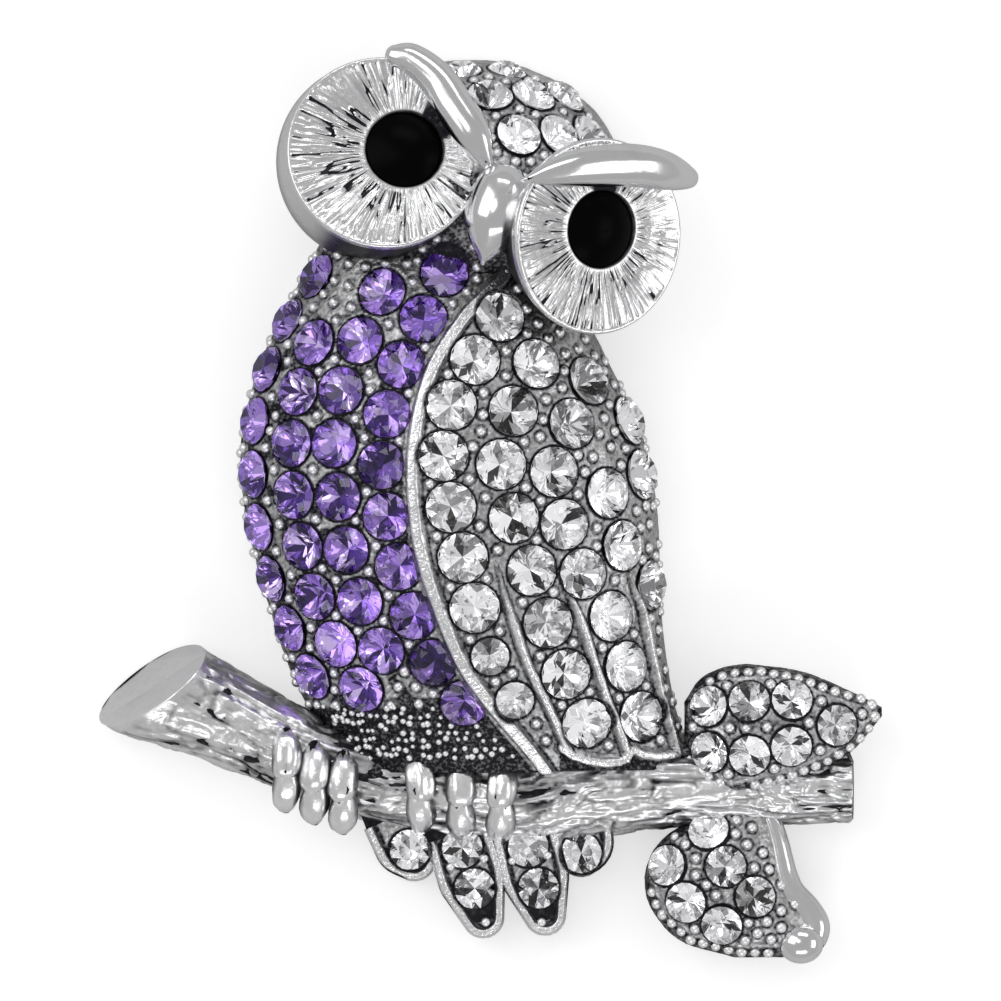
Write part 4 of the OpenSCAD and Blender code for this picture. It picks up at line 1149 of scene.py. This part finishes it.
def leaf(name, rows, length, width, where, found, relief):
    """A leaf: a low dome over its outline, drawn along +Y from its stalk and then moved to its place."""
    t = np.linspace(0, 1, LEAF_ROWS)[:, None]
    mid, half = width * smooth(rows, t, 1), width / 2 * smooth(rows, t, 2)
    rise = LEAF_T * smooth(rows, t, 3) - LEAF_EDGE
    a = np.radians(np.linspace(0, 180, LEAF_COLS))[None, :]
    down = np.linspace(LEAF_EDGE, 0.1, 6)[None, 1:]
    wall = half * (0.98 + 0.02 * down / LEAF_EDGE)
    dome = xyz(mid - half * np.cos(a), t * length, LEAF_EDGE + rise * np.sin(a))
    left, right = (xyz(mid + sign * wall, t * length, down) for sign in (-1, 1))
    outer = np.concatenate([left[:, ::-1], dome, right], axis=1)
    inner = xyz(mid + half * np.linspace(0.8, -0.8, 5)[None, :], t * length, 0.1)
    skin(name, where(outer), where(inner), found, relief, LEAF_GRAIN)


def leaf_relief(outline, vein=None):
    """The relief of a leaf: a groove inside its row of edge grains, and along its vein where it has one."""

    def relief(p):
        edge = line_distance(p, outline)
        height = -0.08 * band(edge, 0.62, 0.12)
        # Painted shade round the row of edge grains and over the ground
        dark = np.maximum(0.9 * step(0.62, 0.42, edge), LEAST_PAINTED_SHADE)
        if vein:
            off = line_distance(p, vein)
            height = -0.22 * band(off, 0, 0.22) + height
            # Painted shade in the vein's groove
            dark = np.maximum(dark, 0.8 * band(off, 0, 0.45))
        return height, dark, edge - 0.45

    return relief


def edge_grains(outline, found, inset=0.29, radius=0.30, spacing=0.77, lift=0.12):
    """A row of grains that follows a leaf's outline a little inside it."""
    pts = np.asarray(outline, float)
    run = length_along(pts)
    places = []
    for s in np.arange(spacing, run[-1] - spacing / 2, spacing):
        q = np.array([np.interp(s, run, pts[:, 0]), np.interp(s, run, pts[:, 1])])
        inward = pts.mean(0) - q
        p = drop_on_casting(*(q + inward / np.linalg.norm(inward) * inset))
        if p is not None and near_stones(p[None], found)[0] > radius * 0.8:
            places.append(p + [0, 0, lift])
    add_grains(places, radius)


def leaves():
    upper, lower = STONES["upper_leaf"], STONES["lower_leaf"]
    relief = leaf_relief(UPPER_EDGE, UPPER_VEIN)
    leaf("upper_leaf_skin", UPPER_LEAF, UPPER_LEN, UPPER_W, at_upper, upper, relief)
    leaf("lower_leaf_skin", LOWER_LEAF, LOWER_LEN, LOWER_W, at_lower, lower, leaf_relief(LOWER_EDGE))
    edge_grains(UPPER_EDGE, upper)
    edge_grains(LOWER_EDGE, lower)


def rolled_edge():
    """The rolled edge of the lower leaf, wider toward its end, and the curl that it ends in."""
    t = np.arange(0.12, 0.93, 0.1)
    x = LOWER_W * smooth(LOWER_LEAF, t, 1) - LOWER_W / 2 * smooth(LOWER_LEAF, t, 2) + 0.14
    path = xyz(x, t * LOWER_LEN, LEAF_EDGE + 0.28)
    half = 0.7 * (0.7 + 0.5 * np.linspace(0, 1, len(t))) + 0.10
    ridge("leaf_roll", at_lower(path), half, half, rows=120, sides=32, past=0.45)
    end = at_lower(path[-1] + np.array([0.49, 0, 0.42]))
    u, a = np.radians(np.linspace(1, 179, 40))[:, None], circle(64)
    curl = 1.0 + 0.03 * np.cos(2 * a)
    ball = xyz(np.sin(u) * np.cos(a) * 1.22 * curl, np.sin(u) * np.sin(a) * 1.16 * curl, np.cos(u) * 1.1)
    closed_piece("leaf_curl", [(ball + end, 0.0)], POLISHED)


# The tail


FEATHER_ROWS, FEATHER_COLS = 110, 66


def feather_half_width(y, tip):
    """Half width of a feather at y: straight sides, a wide arc, a taper and a narrow arc round its tip."""
    r1, c1 = FEATHER_W / 2, -0.6 * tip
    r2 = 0.31 * FEATHER_W
    c2 = r2 - tip
    sin_b = (r1 - r2) / abs(c2 - c1)
    cos_b = math.sqrt(1 - sin_b**2)
    y1, y2 = c1 - r1 * sin_b, c2 - r2 * sin_b
    wide_arc = np.sqrt(np.clip(r1 * r1 - (y - c1) ** 2, 0, None))
    taper = r1 * cos_b + (r2 * cos_b - r1 * cos_b) * (y - y1) / (y2 - y1)
    tip_arc = np.sqrt(np.clip(r2 * r2 - (y - c2) ** 2, 1e-4, None))
    return np.select([y > c1, y > y1, y > y2], [r1 + 0 * y, wide_arc, taper], tip_arc) + 0.03


def feather(number, root, lean, share, rise):
    """One tail feather: a plate with a raised smooth rim and a sunk middle that holds its stones."""
    tip = FEATHER_LEN * share
    u = np.linspace(0, 1, FEATHER_ROWS)[:, None]
    y = -0.3 * tip - 0.7 * tip * np.sin(u * math.pi / 2)
    half = feather_half_width(y, tip)
    v = np.linspace(-1, 1, FEATHER_COLS)[None, :]
    x = half * (np.sign(v) * np.abs(v) ** 0.8)
    right = np.concatenate([half, y], axis=1)
    inside = line_distance(xyz(x, y, 0.0), np.concatenate([right, right[::-1] * (-1, 1)]))
    rim = step(0.0, 0.16, inside) * step(0.62, 0.42, inside)
    top = FEATHER_T - 0.2 * FEATHER_T * step(-0.55 * tip, -0.97 * tip, y) * 0.6
    face = xyz(x, y, top + 0.06 + 0.34 * rim - 0.18 * (1 - step(0.0, 0.2, inside)))
    # Painted shade inside the rim and over the sunk middle
    dark = np.clip(band(inside, 0.66, 0.12) + 0.5 * step(0.45, 0.7, inside), 0, 1)
    # Walls down both sides, lightly darkened as painted shade
    down = np.linspace(1, 0.06, 5)[None, 1:]
    left, right = (xyz(edge[..., 0], y, edge[..., 2] * down) for edge in (face[:, :1], face[:, -1:]))
    ring = np.concatenate([left[:, ::-1], face, right], axis=1)
    wall = np.full(left.shape[:2], 0.25)
    mark = np.concatenate([wall, dark, wall], axis=1)
    ca, sa = math.cos(math.radians(lean)), math.sin(math.radians(lean))
    x, y, z = ring[..., 0], ring[..., 1], ring[..., 2]
    p = xyz(TAIL_AT[0] + root * FEATHER_W + x * ca - y * sa, TAIL_AT[1] + x * sa + y * ca, rise + z)
    gap = near_stones(p, STONES["tail"])
    height, seat_dark = seat_relief(gap)
    p[..., 2] += np.where(gap < 0.5, height, 0)
    mark = np.maximum(mark, np.where(gap < 0.5, seat_dark, 0))
    closed_piece("tail_feather_" + str(number), [(p, mark)], METAL)


# The cast grains


def odd_grains():
    """The few grains that stand by themselves."""
    add_grains([drop_on_casting(*q) + [0, 0, 0.14] for q in TAIL_GRAINS], TAIL_GRAIN_R)
    add_grains([drop_on_casting(*BEAK_GRAIN) + [0, 0, 0.1]], BEAK_GRAIN_R)


def grain_field(name, beads, material, fineness=2):
    """Puts a small ball on each place by Geometry Nodes, and makes one mesh of them."""
    data = np.array(beads)
    mesh = new_mesh(name, data[:, :3], [])
    add_values(mesh, "radius", data[:, 3] * MM)
    o = new_object(name, mesh)
    g = node_group("grain_field", "GeometryNodeTree", [
        ("Geometry", "Geometry", None), ("Fineness", "Int", fineness), ("Material", "Material", material),
    ], [("Geometry", "Geometry")])
    a = node(g, "NodeGroupInput").outputs
    ball = node(g, "GeometryNodeMeshIcoSphere", {"Radius": 1.0, "Subdivisions": a["Fineness"]})
    size = node(g, "GeometryNodeInputNamedAttribute", {"Name": "radius"}, data_type="FLOAT")
    put = node(g, "GeometryNodeInstanceOnPoints", {
        "Points": a["Geometry"], "Instance": ball.outputs["Mesh"], "Scale": size.outputs["Attribute"],
    })
    real = node(g, "GeometryNodeRealizeInstances", {"Geometry": put.outputs["Instances"]})
    soft = node(g, "GeometryNodeSetShadeSmooth", {"Geometry": real.outputs["Geometry"]}).outputs["Geometry"]
    coated = node(g, "GeometryNodeSetMaterial", {"Geometry": soft, "Material": a["Material"]})
    node(g, "NodeGroupOutput", {"Geometry": coated.outputs["Geometry"]})
    modifier = o.modifiers.new("grains", "NODES")
    modifier.node_group = g
    fineness_input = [i.identifier for i in g.interface.items_tree if i.name == "Fineness"][0]
    modifier[fineness_input] = fineness
    bpy.context.view_layer.update()
    plain = bpy.data.meshes.new_from_object(o.evaluated_get(bpy.context.evaluated_depsgraph_get()))
    o.modifiers.clear()
    o.data = plain
    coat(o, material)
    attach(o, "root")


# The pieces in turn. The part's own nodes that stay in view only get a finish

for name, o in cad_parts.items():
    if name == "casting":
        coat(o, INNER)
    elif name == "pin_finding":
        coat(o, PIN)
    elif name.endswith("eye_stone"):
        coat(o, BLACK)

body_skins()
breast_dots()
crown_skin()
disc_piece("left_eye_disc", LEFT_DISC, 47, 15.0, polish_left, shadow=285, shadow_wedge=(38, 24, 1.3))
disc_piece("right_eye_disc", RIGHT_DISC, 52, 19.0, polish_right, shadow=225, shadow_wedge=(88, 20, 0.5))
brow("left_brow", LEFT_DISC, LEFT_BROW)
brow("right_brow", RIGHT_DISC, RIGHT_BROW)
beak()
branch()
toes()
leaves()
rolled_edge()
for k, row in enumerate(FEATHERS):
    feather(k + 1, *row)
odd_grains()
grain_field("cast_grains", BEADS, GRAINS)
for part, found in STONES.items():
    gems(part + "_gems", part + "_stones", found, VIOLET if part == "breast" else CLEAR)


# The stage: a white floor, soft lights and the camera straight above

FLOOR_HALF, FLOOR_GAP, FLOOR_LIFT = 1.6, 0.00008, 0.56
WORLD_STRENGTH = 0.47
# Each light's place in metres, width and height, and power. All look at the middle of the floor
LIGHTS = [
    ("key_left", (-0.36, 0.18, 0.42), (0.42, 0.42), 0.78), ("top", (0.10, 0.46, 0.34), (0.40, 0.14), 0.46),
    ("right", (0.44, -0.04, 0.24), (0.30, 0.18), 0.32), ("front", (0.04, -0.44, 0.34), (0.40, 0.14), 0.46),
    ("overhead", (-0.10, 0.12, 0.56), (0.16, 0.16), 0.13),
]
# The middle and half width of the picture in drawn millimetres, and the camera's height over it in metres
VIEW_MIDDLE, VIEW_HALF, CAMERA_UP = (0.306, 14.97, 4.0), 27.8, 0.9
SENSOR = 36


def add_floor():
    s = FLOOR_HALF
    mesh = bpy.data.meshes.new("floor")
    mesh.from_pydata([(-s, -s, 0), (s, -s, 0), (s, s, 0), (-s, s, 0)], [], [[0, 1, 2, 3]])
    floor = new_object("floor", mesh)
    floor.location.z = -FLOOR_GAP
    white = principled(
        "floor_white", Base_Color=(0.62, 0.62, 0.62, 1), Roughness=0.9, Emission_Color=(1, 1, 1, 1)
    )
    # The camera sees the floor brighter than the metal does, as on a cleaned catalogue picture
    tree = white.node_tree
    seen = node(tree, "ShaderNodeLightPath").outputs["Is Camera Ray"]
    lift = node(tree, "ShaderNodeMath", {0: seen, 1: FLOOR_LIFT}, operation="MULTIPLY")
    tree.links.new(lift.outputs[0], tree.nodes["Principled BSDF"].inputs["Emission Strength"])
    mesh.materials.append(white)


def add_light(name, at, size, power):
    data = bpy.data.lights.new(name, "AREA")
    data.shape = "RECTANGLE"
    data.size, data.size_y = size
    data.energy = power
    o = new_object(name, data)
    o.location = at
    o.rotation_mode = "QUATERNION"
    o.rotation_quaternion = (-Vector(at)).to_track_quat("-Z", "Y")


def add_world(scene):
    scene.world = bpy.data.worlds.new("studio")
    scene.world.use_nodes = True
    background = scene.world.node_tree.nodes["Background"]
    background.inputs["Color"].default_value = (1, 1, 1, 1)
    background.inputs["Strength"].default_value = WORLD_STRENGTH


def add_camera(scene):
    data = bpy.data.cameras.new("camera")
    camera = new_object("camera", data)
    x, y, z = (np.array(VIEW_MIDDLE) + SHIFT) * MM
    camera.location = (x, y, z + CAMERA_UP)
    data.sensor_width = SENSOR
    data.lens = SENSOR / 2 / (VIEW_HALF * MM / CAMERA_UP)
    data.clip_start, data.clip_end = 0.05, 5
    scene.camera = camera


add_floor()
add_world(bpy.context.scene)
for row in LIGHTS:
    add_light(*row)
add_camera(bpy.context.scene)
bpy.context.scene.view_settings.view_transform = "Standard"
bpy.context.scene.view_settings.look = "None"
bpy.context.scene.view_settings.exposure = 0.0
